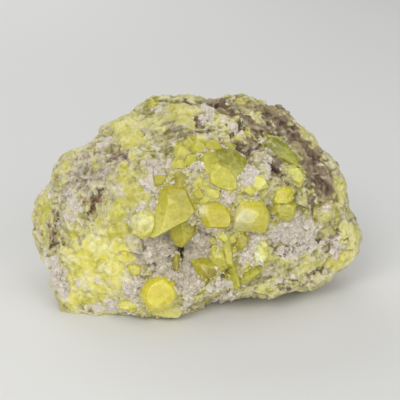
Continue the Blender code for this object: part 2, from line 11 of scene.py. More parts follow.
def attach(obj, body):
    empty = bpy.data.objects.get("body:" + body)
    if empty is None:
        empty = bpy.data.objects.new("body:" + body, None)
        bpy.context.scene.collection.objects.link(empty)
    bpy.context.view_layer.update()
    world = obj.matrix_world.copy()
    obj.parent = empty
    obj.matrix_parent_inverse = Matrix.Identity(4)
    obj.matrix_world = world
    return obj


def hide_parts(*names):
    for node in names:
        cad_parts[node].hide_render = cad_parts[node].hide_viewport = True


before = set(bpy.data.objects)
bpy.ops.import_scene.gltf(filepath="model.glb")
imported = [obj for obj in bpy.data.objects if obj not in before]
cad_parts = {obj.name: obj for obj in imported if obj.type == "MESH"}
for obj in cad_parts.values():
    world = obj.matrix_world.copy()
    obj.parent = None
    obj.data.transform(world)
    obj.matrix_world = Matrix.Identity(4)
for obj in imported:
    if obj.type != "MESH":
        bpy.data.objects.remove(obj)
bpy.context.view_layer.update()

mm = 0.001

# The crystal face leans back. On it u runs right, v up and w out, in millimetres.
faceSetup = dict(lean=20.0, middle=(0.2, 0.5, 28.0))
leanAngle = math.radians(faceSetup["lean"])
faceRight = Vector((1, 0, 0))
faceUp = Vector((0, math.sin(leanAngle), math.cos(leanAngle)))
faceOut = Vector((0, -math.cos(leanAngle), math.sin(leanAngle)))
faceAxes = np.array([faceRight, faceUp, faceOut])


def toFace(points):
    return (points / mm - np.array(faceSetup["middle"])) @ faceAxes.T


def setMode(mode):
    bpy.ops.object.mode_set(mode=mode)


def selectAll(action="SELECT"):
    bpy.ops.mesh.select_all(action=action)


def deselectObjects():
    if bpy.context.object and bpy.context.object.mode != "OBJECT":
        setMode("OBJECT")
    bpy.ops.object.select_all(action="DESELECT")


def pick(obj):
    deselectObjects()
    obj.select_set(True)
    bpy.context.view_layer.objects.active = obj


def startPiece(name, primitive, **settings):  # a new piece from one of Blender's primitives
    deselectObjects()
    primitive(**settings)
    obj = bpy.context.object
    obj.name = name
    obj.data.name = name
    return obj


def startMesh(name, data):
    obj = bpy.data.objects.new(name, data)
    bpy.context.scene.collection.objects.link(obj)
    return obj


def selectVertices(obj, wanted):  # leaves edit mode on, with those vertices selected
    setMode("EDIT")
    bpy.ops.mesh.select_mode(type="VERT")
    selectAll("DESELECT")
    setMode("OBJECT")
    for vertex in obj.data.vertices:
        vertex.select = bool(wanted(vertex.co))
    setMode("EDIT")


def turnOutward():  # turns every face outward and ends edit mode
    selectAll()
    bpy.ops.mesh.normals_make_consistent(inside=False)
    setMode("OBJECT")


def useModifier(obj, kind, **settings):
    pick(obj)
    modifier = obj.modifiers.new(kind.title(), kind)
    for key, value in settings.items():
        setattr(modifier, key, value)
    bpy.ops.object.modifier_apply(modifier=modifier.name)


def copyOfNode(node, name):  # a welded copy of a CAD node, at the origin
    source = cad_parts[node]
    data = source.data.copy()
    data.transform(source.matrix_world)
    data.materials.clear()
    data.name = name
    obj = startMesh(name, data)
    pick(obj)
    setMode("EDIT")
    selectAll()
    bpy.ops.mesh.remove_doubles(threshold=0.002 * mm)
    turnOutward()
    return obj


def readArray(items, name, width, kind=np.float32):
    flat = np.empty(len(items) * width, kind)
    items.foreach_get(name, flat)
    return flat.reshape(-1, width)


def pointsOf(obj):
    return readArray(obj.data.vertices, "co", 3).astype(float)


def normalsOf(obj):
    return readArray(obj.data.vertices, "normal", 3).astype(float)


def movePoints(obj, points):
    obj.data.vertices.foreach_set("co", points.astype(np.float32).ravel())
    obj.data.update()


def keepValues(obj, name, values, kind, key):
    field = obj.data.attributes.new(name, kind, "POINT")
    field.data.foreach_set(key, np.asarray(values, np.float32).ravel())


def keepField(obj, name, values):  # one number for each point
    keepValues(obj, name, values, "FLOAT", "value")


def keepColour(obj, name, colours):  # linear colours, one for each point
    keepValues(obj, name, np.hstack([colours, np.ones((len(colours), 1))]), "FLOAT_COLOR", "color")


def keepPlace(obj, name, places):  # a place of its own for each point, for patterns that follow the layers
    keepValues(obj, name, places, "FLOAT_VECTOR", "vector")


def treeOf(objects):  # the surface of some objects, for finding the nearest place on it
    corners, faces = [], []
    for obj in objects:
        place = obj.matrix_world
        first = len(corners)
        corners += [place @ vertex.co for vertex in obj.data.vertices]
        faces += [[first + i for i in polygon.vertices] for polygon in obj.data.polygons]
    return BVHTree.FromPolygons(corners, faces)


def treeOfNodes(*names):
    return treeOf([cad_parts[name] for name in names])


def distanceTo(tree, points, limit):  # in mm, at most the limit
    return np.array([tree.find_nearest(Vector(p), limit * mm)[3] or limit * mm for p in points]) / mm


def averaged(obj, values, rounds):  # each point takes the mean of its neighbours, again and again
    edges = readArray(obj.data.edges, "vertices", 2, np.int32)
    count = np.bincount(edges.ravel(), minlength=len(values))[:, None]
    for _ in range(rounds):
        total = np.zeros_like(values)
        for axis in range(3):
            total[:, axis] += np.bincount(edges[:, 0], values[edges[:, 1], axis], len(values))
            total[:, axis] += np.bincount(edges[:, 1], values[edges[:, 0], axis], len(values))
        values = total / count
    return values


def evenNormals(obj, rounds):
    normals = averaged(obj, normalsOf(obj), rounds)
    return normals / (np.linalg.norm(normals, axis=1)[:, None] + 1e-9)


def hollowness(obj, rounds):  # how far each point lies below the mean of its surroundings, in mm
    start = pointsOf(obj)
    return ((averaged(obj, start, rounds) - start) * normalsOf(obj)).sum(axis=1) / mm


def creasesOf(obj, broad):  # hollows above 0, ridges below it, from fine and broad surroundings
    return hollowness(obj, 2) / 0.1 + hollowness(obj, 8) / broad


def eased(x):
    x = np.clip(x, 0, 1)
    return x * x * (3 - 2 * x)


def noiseOver(points, size, shift=0.0, octaves=1):
    shifted = points / size + shift
    if octaves == 1:
        return np.array([noise.noise(Vector(p)) for p in shifted])
    return np.array([noise.fractal(Vector(p), 1.0, 2.0, octaves) for p in shifted])


def grainsOver(points, size):  # rounded grains: high in the middle of each cell
    return np.array([0.5 - noise.voronoi(Vector(p))[0][0] for p in points / size])


def spread(spots, u, v, reach):  # 0 at u and v on the face, 1 at the reach
    return ((spots[:, 0] - u) ** 2 + (spots[:, 1] - v) ** 2) / reach**2


def finish(obj, material):
    obj.data.materials.clear()
    obj.data.materials.append(material)
    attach(obj, "root")
    print("made", obj.name, len(obj.data.polygons), "faces")
    return obj


def linear(red, green, blue):  # a screen colour from 0 to 255 as linear light
    shares = [c / 255 for c in (red, green, blue)]
    return tuple(c / 12.92 if c <= 0.04045 else ((c + 0.055) / 1.055) ** 2.4 for c in shares) + (1.0,)


class Wire:  # a value in a shader that can be calculated with
    def __init__(self, tree, socket):
        self.tree = tree
        self.socket = socket

    def math(self, operation, *others, first=None):
        node = self.tree.nodes.new("ShaderNodeMath")
        node.operation = operation
        values = [first, self] if first is not None else [self, *others]
        for socket, value in zip(node.inputs, values):
            if isinstance(value, Wire):
                self.tree.links.new(value.socket, socket)
            else:
                socket.default_value = value
        return Wire(self.tree, node.outputs[0])

    def __add__(self, other):
        return self.math("ADD", other)

    def __sub__(self, other):
        return self.math("SUBTRACT", other)

    def __rsub__(self, other):
        return self.math("SUBTRACT", first=other)

    def __mul__(self, other):
        return self.math("MULTIPLY", other)

    def __truediv__(self, other):
        return self.math("DIVIDE", other)

    __radd__ = __add__
    __rmul__ = __mul__

    def clipped(self):
        return self.math("MINIMUM", 1.0).math("MAXIMUM", 0.0)

    def between(self, low, high):  # 0 at low, 1 at high
        return ((self - low) / (high - low)).clipped()


class Finish:  # a material and the nodes it is made of
    def __init__(self, name):
        self.material = bpy.data.materials.new(name)
        self.material.use_nodes = True
        self.tree = self.material.node_tree
        self.tree.nodes.clear()
        where = self.node("ShaderNodeTexCoord", output="Object")
        sockets = {0: where, "Scale": 1 / mm}
        self.place = self.node("ShaderNodeVectorMath", dict(operation="SCALE"), sockets, "Vector")

    def node(self, kind, settings=None, sockets=None, output=0):
        node = self.tree.nodes.new(kind)
        for key, value in (settings or {}).items():
            setattr(node, key, value)
        for key, value in (sockets or {}).items():
            if isinstance(value, Wire):
                self.tree.links.new(value.socket, node.inputs[key])
            else:
                node.inputs[key].default_value = value
        return Wire(self.tree, node.outputs[output])

    def field(self, name, output="Fac"):
        return self.node("ShaderNodeAttribute", dict(attribute_name=name), output=output)

    def clouds(self, size, detail=3.0, shift=0.0, stretch=(1, 1, 1), rough=0.55, along=None):
        sockets = {"Vector": along or self.place, "Location": (shift, shift * 0.7, -shift), "Scale": stretch}
        place = self.node("ShaderNodeMapping", sockets=sockets)
        sockets = {"Vector": place, "Scale": 1 / size, "Detail": detail, "Roughness": rough}
        return self.node("ShaderNodeTexNoise", sockets=sockets, output="Fac")

    def cells(self, size):
        sockets = {"Vector": self.place, "Scale": 1 / size}
        return self.node("ShaderNodeTexVoronoi", dict(feature="F1"), sockets, "Distance")

    def mix(self, factor, low, high, blend="MIX"):
        low, high = (tint if isinstance(tint, Wire) else linear(*tint) for tint in (low, high))
        settings = dict(data_type="RGBA", blend_type=blend)
        return self.node("ShaderNodeMix", settings, {0: factor, 6: low, 7: high}, 2)

    def layered(self, colour, *layers):  # lays tints over a colour, one after the other
        for factor, tint in layers:
            colour = self.mix(factor, colour, tint)
        return colour

    def multiplied(self, colour, tint, factor=1.0):
        return self.mix(factor, colour, tint, "MULTIPLY")

    def bump(self, height, strength, distance):
        sockets = {"Height": height, "Strength": strength, "Distance": distance * mm}
        return self.node("ShaderNodeBump", sockets=sockets)

    def surface(self, colour, roughness, normal=None, glow=None, others=None):
        sockets = {"Base Color": colour, "Roughness": roughness, **(others or {})}
        if normal:
            sockets["Normal"] = normal
        if glow:  # how much light goes in, and how far its red, green and blue go, in mm
            sockets["Subsurface Weight"] = glow[0]
            sockets["Subsurface Radius"] = [reach * mm for reach in glow[1:]]
            sockets["Subsurface Scale"] = 1.0
        shader = self.node("ShaderNodeBsdfPrincipled", sockets=sockets)
        out = self.tree.nodes.new("ShaderNodeOutputMaterial")
        self.tree.links.new(shader.socket, out.inputs["Surface"])
        return self.material


# Where the rock's colours lie on the crystal face: u, v, reach along, reach across, turn in degrees, strength.
patches = dict(
    lemon=(
        (-31, -19, 10, 9.5, 15, 1), (-26.5, -12.5, 5.5, 3, 0, 0.8), (-39.5, -29, 4, 3.5, 0, 0.95),
        (-50, -2, 2, 7.5, 8, 0.85), (-21.5, 23.5, 4.5, 5.5, 25, 1), (-6.5, 30, 3.5, 3, 10, 0.75),
        (-3.5, 26.5, 3, 2, -10, 0.6), (45.5, 4.5, 2.5, 6, -20, 0.95), (49.5, -10, 2.5, 4.5, 0, 0.95),
        (46, -17.5, 4.5, 2.5, 15, 0.8), (41.3, -2, 3.4, 3.4, 0, 1), (19, 6.5, 3, 4, 0, 0.75),
        (18.5, -16, 4.5, 4, 0, 0.8), (22, -25.5, 4.5, 2, 5, 0.85), (1.5, -25, 2, 2, 0, 0.85),
        (38, -19.5, 8, 2.5, 12, 0.6), (36.5, -6, 3.5, 2, 0, 0.35), (-28, -6, 4, 5, 0, 0.5),
        (-19, 3, 4.5, 5, 0, 0.6), (13, 25, 7, 4.5, -8, 0.6), (-21.5, 10.5, 3, 3, 0, 0.6),
        (-32.5, 12.5, 3, 2.5, 0, 0.5), (-42.5, 12.5, 3, 3, 0, 0.6), (-24, 0, 2.6, 4, 0, 0.5),
        (-41, -14, 3, 4.5, 0, 0.7), (26, 29, 3, 1.6, -35, 0.35), (32, 14, 2, 7, 25, 0.5),
        (-16.5, -5.5, 3.5, 3.5, 0, 0.7), (9, 31, 3.5, 1, 0, 0.35), (16.5, 33, 6, 1, -6, 0.55),
        (32, -15.5, 9.5, 4.5, 0, 0.35), (-12, 25, 5.5, 2.5, -15, 0.5), (19, 31, 4, 1, -20, 0.4),
        (26, 27.2, 5, 0.8, -36, 0.5), (17, 28, 4, 1.2, -25, 0.5), (-18, 3.4, 3.4, 2.5, 0, 1),
    ),
    white=(
        (-13, 11.5, 3.6, 3, -20, 0.7), (-8.5, 13.5, 1.6, 2, 0, 0.6), (-0.8, 13.3, 2.2, 2.6, 0, 0.9),
        (-16.6, -2.4, 2.4, 2.6, 0, 0.8), (-38.5, 0.8, 1, 3.8, 30, 0.95), (-39.5, -3.2, 1.2, 1.2, 0, 0.9),
        (-36.5, -23.5, 2, 2, 0, 0.7), (-29.5, -24, 2, 2, 0, 0.6), (-43.8, -24.5, 2.2, 5.5, 25, 0.85),
        (-28, -31.3, 8, 1.3, 0, 0.9), (-46.8, -17.5, 1.5, 4, 35, 0.8), (-20.5, -25.5, 3.5, 3, 0, 0.85),
        (15.5, 8, 4.5, 4, 0, 0.95), (9.5, 2.5, 2, 2.5, 0, 0.9), (16, -15.5, 2.5, 3, 0, 1),
        (30.5, -8.5, 8.5, 5.5, 10, 0.8), (44.5, -15, 2, 3, 0, 0.85), (31, -14, 7.5, 3, 0, 0.8),
        (-12.5, 30, 2.5, 2, 0, 0.7), (3, 28.5, 2, 3, 0, 0.85), (-2, -24, 2.4, 7.5, -5, 0.95),
        (7, -25, 3.4, 2.2, 0, 0.9), (15.2, -15.8, 2, 2.6, 0, 1), (10.5, -28.5, 7.5, 1, 8, 0.7),
        (-30, 20.5, 2.5, 2, -30, 0.7), (32, 28.5, 1, 1.6, -30, 0.2), (12, 31, 4, 0.7, 0, 0.3),
        (22, 11.5, 2.5, 3.5, 0, 0.7), (27.5, 1.5, 2.5, 3, 0, 0.4), (36, -12, 5, 3, 0, 0.85),
        (-46, 3, 2, 2.5, 0, 0.5), (-34.5, 3, 2.5, 2, 0, 0.25), (-24.5, 6.5, 2.5, 3, 0, 0.5),
        (5.5, 17, 3, 1.5, 0, 0.5), (22, -2.5, 1.5, 1.5, 0, 0.6), (18, -9.5, 3, 2.5, 0, 0.75),
        (-14.5, 6.5, 3.5, 3, 0, 0.7), (44.5, -11, 2, 2.5, 0, 0.6), (41.2, -1.2, 2.2, 2.2, 0, 0.66),
        (29, -24, 9, 1.2, 10, 0.45), (30, 28, 4, 0.9, -45, 0.45), (12, 25, 5, 1.8, -8, 0.6),
        (-13.6, -1.5, 1.6, 2.4, 0, 0.7),
    ),
    grey=(
        (-34, 10.5, 8, 6, 20, 0.75), (-12.5, -15.5, 7, 5.5, 0, 0.9), (1, -11.5, 4.5, 4.5, 0, 0.9),
        (-24, 14, 3.5, 2.5, 0, 0.6), (-41, 3, 3.5, 5, 0, 0.5), (-9.5, 23, 7, 3.5, 0, 0.6),
        (-4.5, 20.5, 6, 2.5, 0, 0.6), (32, -11, 8, 3.5, 10, 0.35), (32, -24, 12.5, 2, 10, 0.35),
        (26, 23.5, 8, 3, -35, 0.45), (-2, -21.5, 2.5, 7, -5, 0.6), (-8.5, 26.5, 4.5, 2, 0, 0.4),
        (20, 16.5, 5.5, 2, 0, 0.6), (-43, -6, 2, 6, 8, 0.5), (-10.5, 13.5, 4, 3.5, 0, 0.7),
    ),
    brown=(
        (7.5, 31, 5.5, 2, -8, 1), (1.5, 26.5, 2.5, 1.5, 20, 0.9), (14.8, 17.9, 6.5, 2.5, 12, 0.78),
        (23, 29, 8, 2, -26, 0.9), (27.5, 30.5, 4, 1.5, -30, 0.8), (26, 25.3, 5, 1.4, -36, 0.85),
        (20, 24.6, 9.5, 1.7, -26, 0.9), (32, 19.5, 3, 5.5, 32, 0.85), (37.5, 10.5, 3.5, 10.5, 24, 1),
        (39, 6.8, 3, 4.8, 10, 0.9), (36, 0, 1.1, 4.5, 15, 0.9), (24.4, 12.6, 2.1, 4, -8, 1),
        (27.2, 7.6, 1.2, 2.6, 0, 0.9), (40.5, -11, 1.4, 2.6, 20, 0.55), (29, -14, 4, 2, 0, 0.65),
        (-32.4, 0.4, 1.3, 4.2, -32, 0.65), (-30.5, 2, 3, 2, 0, 0.4), (-44.5, -7.5, 1.2, 6, 4, 0.6),
        (-24.5, 15, 3.5, 2, -10, 0.75), (-46, -8, 1, 6, 4, 0.6), (44, -10, 1, 5, -28, 0.75),
        (30.5, 23.5, 4, 1.6, -40, 0.85), (10.5, 29, 4, 1.2, -25, 0.8), (-0.5, 32, 2.5, 1, 0, 0.6),
        (16.5, 24, 1.5, 4.5, 40, 0.55), (11, 23, 1.5, 1, 0, 0.8), (-30, 11, 4.5, 3, 30, 0.4),
        (-39.5, 7, 3, 2, 0, 0.4), (29, -26.5, 7, 1, 8, 0.5), (5.5, 33.5, 9.5, 1, 0, 0.7),
        (-40, -11, 1, 5, 10, 0.4), (2.5, 23, 4.5, 1, -12, 0.5), (36.5, 17, 2, 5, 28, 0.9),
        (18.5, 21.5, 2.5, 1, -30, 0.6),
    ),
    rust=(
        (-46, -9.5, 1, 5.5, 4, 0.8), (-33, -1, 1.5, 4.2, -32, 1), (35, -25, 2.5, 1, 8, 0.95),
        (-42.5, -17.5, 1, 2.5, 20, 0.5), (25, 32, 2.5, 2, -20, 0.4), (-25.5, 15.5, 2, 1, 0, 0.5),
        (-35, 2.5, 1.5, 2, 0, 0.5), (40, 7, 1.5, 3, 20, 0.4),
    ),
    golden=(
        (-31, -19, 13, 11, 10, 1), (-39, -29, 6, 5, 0, 0.9), (19, -16, 5, 4, 0, 0.9),
        (47, -12, 5, 8, 0, 0.5), (45.5, 4.5, 3, 6, -20, 0.5), (-28, -8, 4, 4, 0, 0.6),
        (22, -25, 5, 2.5, 0, 0.5), (-20, -8, 5, 3, 0, 0.6), (41.3, -2, 3.4, 3.4, 0, 0.5),
    ),
    wax=(
        (-5, 14, 1.6, 4, 0, 0.95), (-1.5, 18.3, 4.5, 1.8, 5, 1), (3.2, 15.5, 2.6, 2.6, -20, 0.9),
        (-24.5, -1, 2.6, 4, 0, 0.9), (-24, -7.6, 3, 2.2, 0, 1), (-39.8, -8.5, 1.6, 3, 0, 0.85),
        (-38.3, -19.5, 1.8, 2, 20, 0.75), (-49.5, -3, 1.2, 5, 5, 0.6), (-29, -14, 3, 2, 10, 0.5),
        (-10.8, 8.2, 1.8, 1.8, 0, 0.8), (1, 5.5, 2.4, 2.6, 0, 0.8), (11, 6, 3, 1.4, -30, 0.6),
        (-13.5, 32, 2.4, 1.6, 0, 0.6), (25, 20.5, 4.5, 1.2, -38, 0.7), (46.5, 8, 1.6, 3, -20, 0.5),
        (8.5, -12, 1.6, 3.6, 0, 0.9), (21.5, -16.5, 2.4, 3.4, 0, 0.6), (4.8, -14.5, 2.2, 2.6, 0, 0.9),
        (9.5, -19.5, 1.6, 3.4, 0, 0.8), (12.8, -13.5, 1.6, 2, 0, 0.6), (2.5, -17, 1.6, 1.4, 0, 0.6),
        (5.5, -26.5, 2, 2, 0, 0.6), (-35.5, -30, 3.6, 1.6, 0, 0.6), (28, -3.5, 3, 2.2, 0, 0.7),
    ),
    olive=(
        (-16.5, 31, 3, 2, -20, 0.85), (-8.5, 33.5, 9.5, 1, 0, 0.8), (-9.5, 22, 5.5, 4.5, 0, 0.6),
        (-9.5, 16.5, 3.5, 3, 20, 0.8), (-15, 14.5, 2.5, 2.5, 0, 0.7), (-11.2, 10.5, 2.2, 2.6, 20, 0.85),
        (-3.5, 16.5, 4.5, 3, 0, 0.55), (-1, 9, 3, 3.5, 0, 0.6), (25, 27, 8, 2.4, -28, 0.9),
        (18, 33.5, 8, 2, -8, 0.8), (32, 9.5, 2, 4.5, 20, 0.6), (20, 19.5, 5.5, 1, -12, 0.5),
        (22, 9, 2.5, 1.5, 0, 0.5), (32.5, -2, 4.5, 3.5, 10, 0.45), (32, -20.5, 13.5, 3, 8, 0.55),
        (-42.5, 0, 4.5, 3, 0, 0.45), (-48.5, -9.5, 2, 4.5, 0, 0.5), (-40.5, -9, 2, 3.5, 0, 0.5),
        (1, 36, 1, 1, 0, 0.3), (-21.5, -6, 3.5, 2.5, 0, 0.35), (5.5, -21.5, 3.5, 2.5, 0, 0.4),
        (-14.5, 23.5, 2.5, 3, 0, 0.4), (-27, 4.5, 2.5, 2.5, 0, 0.4), (-27, -5, 3.6, 3.6, 0, 0.5),
        (-7.5, 29.5, 3, 2, 0, 0.45), (9.5, 15.5, 9.5, 1.5, -12, 0.5), (-34.5, -29, 5, 1, 0, 0.35),
    ),
)

# Thin dark partings: width, and the points they run through on the face.
partings = (
    (0.42, ((43.5, -3.5), (46.0, -8.0), (49.5, -13.0))),
    (0.36, ((12.8, 27.0), (15.5, 22.5), (17.8, 19.5))),
    (0.32, ((8.5, 23.5), (11.0, 22.0), (13.5, 23.5))),
    (0.36, ((-16.0, 33.0), (-7.0, 33.6), (2.0, 33.2))),
    (0.36, ((22.0, -25.5), (32.0, -24.0), (42.0, -20.5))),
    (0.32, ((-20.2, -7.5), (-17.0, -10.2), (-14.0, -9.9))),
    (0.5, ((-29.4, 4.6), (-31.4, 1.0), (-34.0, -2.2))),
    (0.5, ((-45.0, -3.6), (-44.8, -9.0), (-46.4, -13.0))),
    (0.36, ((-46.0, -12.0), (-43.5, -11.5), (-41.5, -12.2))),
)

# Behind the face the colours lie at random: size of the patches, how common they are, how much that varies.
backCloud = dict(
    lemon=(15.0, 0.55, 0.8), golden=(18.0, 0.3, 0.8), wax=(8.0, 0.1, 1.0), white=(9.0, 0.3, 0.9),
    grey=(12.0, 0.3, 0.9), brown=(10.0, 0.05, 0.9), rust=(7.0, -0.25, 0.8), olive=(11.0, 0.25, 0.8),
)

# Lumps that stand out on the face: u, v, reach, height.
knobs = (
    (41.1, -2.3, 3.4, 1.5), (-21.2, 23.2, 5.0, 1.0), (-24.0, 17.0, 4.0, 0.8), (17.5, 6.0, 3.4, 1.2),
    (-18.5, 3.5, 3.2, 0.8), (19.5, -15.0, 3.4, 1.0), (47.5, -9.0, 4.0, 1.0), (-33.0, -24.0, 5.0, 0.7),
    (-40.0, -29.0, 4.0, 1.0), (-9.5, 30.0, 4.0, 0.8), (13.0, 25.5, 4.5, 1.0), (-12.0, 13.5, 3.6, 0.8),
    (-42.0, 12.5, 3.2, 0.8), (29.5, -8.0, 4.0, 0.7), (-27.0, -5.0, 4.0, 0.7), (9.0, -27.5, 3.0, 0.6),
    (46.0, 6.0, 3.4, 0.9), (-31.0, 12.0, 3.6, 0.7),
)

# Broad swells without an edge: u, v, reach, height.
swells = ((26.5, 31.5, 7.0, 1.7), (36.0, 21.5, 7.0, 0.9), (42.0, 12.0, 6.0, 0.5))

knobSetup = dict(edge=1.15, groove=0.35, grooveWidth=0.13)


def frontness(spots):  # 1 on the crystal face, 0 behind it
    return eased((spots[:, 2] + 4) / 12)


def knobField(u, v):  # how far the lumps raise the skin, in mm
    field = np.zeros(len(u))
    edge, width = knobSetup["edge"], knobSetup["grooveWidth"]
    for middleU, middleV, reach, height in knobs:
        away = np.hypot(u - middleU, v - middleV) / reach
        field = np.maximum(field, height * (1 - eased(away / edge)))
        field = field - knobSetup["groove"] * height * np.exp(-(((away - edge) / width) ** 2))
    for middleU, middleV, reach, height in swells:
        field += height * np.exp(-((u - middleU) ** 2 + (v - middleV) ** 2) / (0.5 * reach**2))
    return field


def patchField(kind, u, v):
    field = np.zeros(len(u))
    for middleU, middleV, along, across, turn, strength in patches[kind]:
        c, s = math.cos(math.radians(turn)), math.sin(math.radians(turn))
        du, dv = u - middleU, v - middleV
        reach = ((du * c + dv * s) / along) ** 2 + ((dv * c - du * s) / across) ** 2
        field = np.maximum(field, strength / (1 + reach**2.2))
    return field


def partingField(u, v):
    here = np.stack([u, v], 1)
    field = np.zeros(len(u))
    for width, points in partings:
        for start, end in zip(points, points[1:]):
            a, b = np.array(start), np.array(end)
            along = np.clip((here - a) @ (b - a) / ((b - a) @ (b - a)), 0, 1)
            away = np.linalg.norm(here - a - along[:, None] * (b - a), axis=1)
            field = np.maximum(field, np.exp(-((away / width) ** 2)))
    return field


warpSetup = dict(size=3.6, patches=2.6, partings=1.6)  # how the patches' edges wander, in mm


def zonesAt(world):  # the fields at points in metres
    spots = toFace(world)
    warpU, warpV = (noiseOver(spots, warpSetup["size"], shift, 4) for shift in (11.0, 47.0))
    u, v = spots[:, 0] + warpSetup["patches"] * warpU, spots[:, 1] + warpSetup["patches"] * warpV
    front = frontness(spots)
    fields = {}
    for kind, (size, base, swing) in backCloud.items():
        behind = base + swing * noiseOver(spots, size, 5.0 * len(kind) + len(fields), 2)
        fields[kind] = patchField(kind, u, v) * front + np.clip(behind, 0, 1) * (1 - front)
        fields[kind] *= 1 + 0.45 * noiseOver(spots, 1.7, 70.0 + 9.0 * len(fields), 2)
    broken = eased(noiseOver(spots, 2.2, 88.0, 2) * 3 + 0.75)
    u, v = spots[:, 0] + warpSetup["partings"] * warpU, spots[:, 1] + warpSetup["partings"] * warpV
    fields["parting"] = partingField(u, v) * front * broken
    return spots, fields


# The rock's skin, in mm unless it is a share or a count of turns.
rockSetup = dict(
    voxel=0.48, behind=-4.0, behindShare=0.25, fillSwell=0.2, wide=1.5, turns=4.0,
    lumps=0.7, creases=0.75, smallCreases=0.25, blocks=0.6, grains=0.6, plates=0.9, gritty=0.14,
    waxy=0.5, weathered=0.5, parting=0.6, ridge=0.22, ridgeLoss=0.75,
    climb=1.1, lobe=(-18.8, -5.2, 3.4), lobeClimb=1.2, under=0.5, collar=0.25, crustGap=0.5, foot=1.2,
)


def aroundHollow(spots):  # across the layers, and twice along them: the layers run round the hollow
    u, v, w = spots.T
    wide, turns = rockSetup["wide"], rockSetup["turns"]
    angle = np.arctan2(v, u / wide)
    return np.stack([np.hypot(u / wide, v) + 0.25 * w, np.cos(angle) * turns, np.sin(angle) * turns], 1)


def rockRelief(spots, fields):  # the relief, and the dark line at the foot of each ledge: partly a real crack, partly painted shadow
    kinds = ("lemon", "white", "brown", "grey", "wax")
    lemon, white, brown, grey, wax = (np.clip(fields[kind], 0, 1) for kind in kinds)
    around = aroundHollow(spots)
    outer = eased((np.hypot(spots[:, 0] / rockSetup["wide"], spots[:, 1]) - 13) / 7)
    ledge = noiseOver(around * (0.42, 1, 1), 1.0, 3.0, 3) * outer
    relief = rockSetup["lumps"] * noiseOver(spots, 6.5, 0.0, 2)
    relief += rockSetup["creases"] * (0.3 - np.abs(noiseOver(spots, 3.4, 21.0, 2)) * 1.7)
    relief += rockSetup["smallCreases"] * (0.3 - np.abs(noiseOver(spots, 1.5, 5.0)) * 1.6)
    relief += rockSetup["blocks"] * grainsOver(spots, 2.6) * lemon * 0.8
    relief += rockSetup["grains"] * grainsOver(spots + 9.0, 2.0) * (0.15 + 0.85 * white)
    relief += rockSetup["plates"] * (eased(ledge / 0.16 + 0.5) - 0.5) * outer * (1 - 0.7 * lemon)
    relief += rockSetup["gritty"] * noiseOver(spots, 0.9, 7.0, 2)
    relief *= (1 - 0.55 * lemon) * (1 - 0.6 * wax)
    relief += rockSetup["waxy"] * eased(wax / 0.8)
    relief -= rockSetup["weathered"] * brown * (0.8 + 1.2 * noiseOver(around * (0.8, 1, 1), 1.0, 31.0, 3))
    relief += 0.3 * white - 0.2 * grey
    relief -= rockSetup["parting"] * fields["parting"]
    warp = 0.8 * noiseOver(spots, 3.0, 15.0, 2)
    relief += knobField(spots[:, 0] + warp, spots[:, 1] - warp) * frontness(spots)
    return relief, np.exp(-((ledge / 0.05 + 1.0) ** 2)) * outer * (1 - 0.8 * lemon)


def rockBase():  # the rock and what lies under the crystals are one skin, so that no groove shows between them
    middle = Vector(faceSetup["middle"]) * mm
    obj = copyOfNode("matrix_rock", "roughRock")
    fill = [copyOfNode(node, "fill") for node in crystalLooks]
    for each in fill:
        movePoints(each, pointsOf(each) + normalsOf(each) * rockSetup["fillSwell"] * mm)
    pick(obj)
    for each in fill:
        each.select_set(True)
    bpy.ops.object.join()
    useModifier(obj, "REMESH", mode="VOXEL", voxel_size=rockSetup["voxel"] * mm)
    selectVertices(obj, lambda co: faceOut.dot(co - middle) < rockSetup["behind"] * mm)
    bpy.ops.mesh.decimate(ratio=rockSetup["behindShare"])
    setMode("OBJECT")
    useModifier(obj, "SMOOTH", factor=0.5, iterations=2)
    return obj


def buildRock():
    obj = rockBase()
    points, normals = pointsOf(obj), evenNormals(obj, 8)
    spots, fields = zonesAt(points)
    relief, crack = rockRelief(spots, fields)
    ridges = eased(-hollowness(obj, 8) / rockSetup["ridge"])
    relief *= 1 - rockSetup["ridgeLoss"] * ridges  # sharp ridges keep their shape
    away = distanceTo(crystals, points, 3)
    bare = distanceTo(treeOfNodes("matrix_rock"), points, 3)
    crust = distanceTo(treeOfNodes("spar_crust"), points, 2)
    small = treeOfNodes("sulfur_small_left", "sulfur_blade", "sulfur_mid_small")
    free = 1 - 0.8 * eased(1.4 - distanceTo(small, points, 2))  # less grows on the small ones
    # How far the rock grows up the crystals. The pale lobe is half grown over.
    climb = rockSetup["climb"] * (0.3 + noiseOver(spots, 1.5, 33.0, 2)) * free
    climb += rockSetup["lobeClimb"] * np.exp(-spread(spots, *rockSetup["lobe"]))
    under = eased((bare - away - climb) / 0.4) * eased((bare - 0.1) / 0.2)
    relief = relief * (0.1 + 0.9 * eased((away - 0.2) / 1.6))
    relief = relief + rockSetup["collar"] * free * (1 - eased((away - 0.4) / 0.9))
    relief = relief * (1 - under) * eased((crust - 0.3) / 1.2) - rockSetup["under"] * under
    relief = relief - rockSetup["crustGap"] * (1 - eased((crust - 0.3) / 0.6))
    relief *= eased((points[:, 2] / mm) / rockSetup["foot"])
    points += normals * relief[:, None] * mm
    points[:, 2] = np.maximum(points[:, 2], 0.0)
    movePoints(obj, points)
    fields = zonesAt(points)[1]
    fields["crack"] = crack
    fields["under"] = under
    fields["close"] = (1 - eased(away / 1.6)) * (1 - under)
    fields["near"] = (1 - eased(away / 3.0)) * (1 - under)
    fields["creased"] = creasesOf(obj, 0.5)
    fields["tint"] = np.full(len(points), 0.5)
    for kind, values in fields.items():
        keepField(obj, kind, values)
    keepPlace(obj, "around", aroundHollow(spots))
    return obj


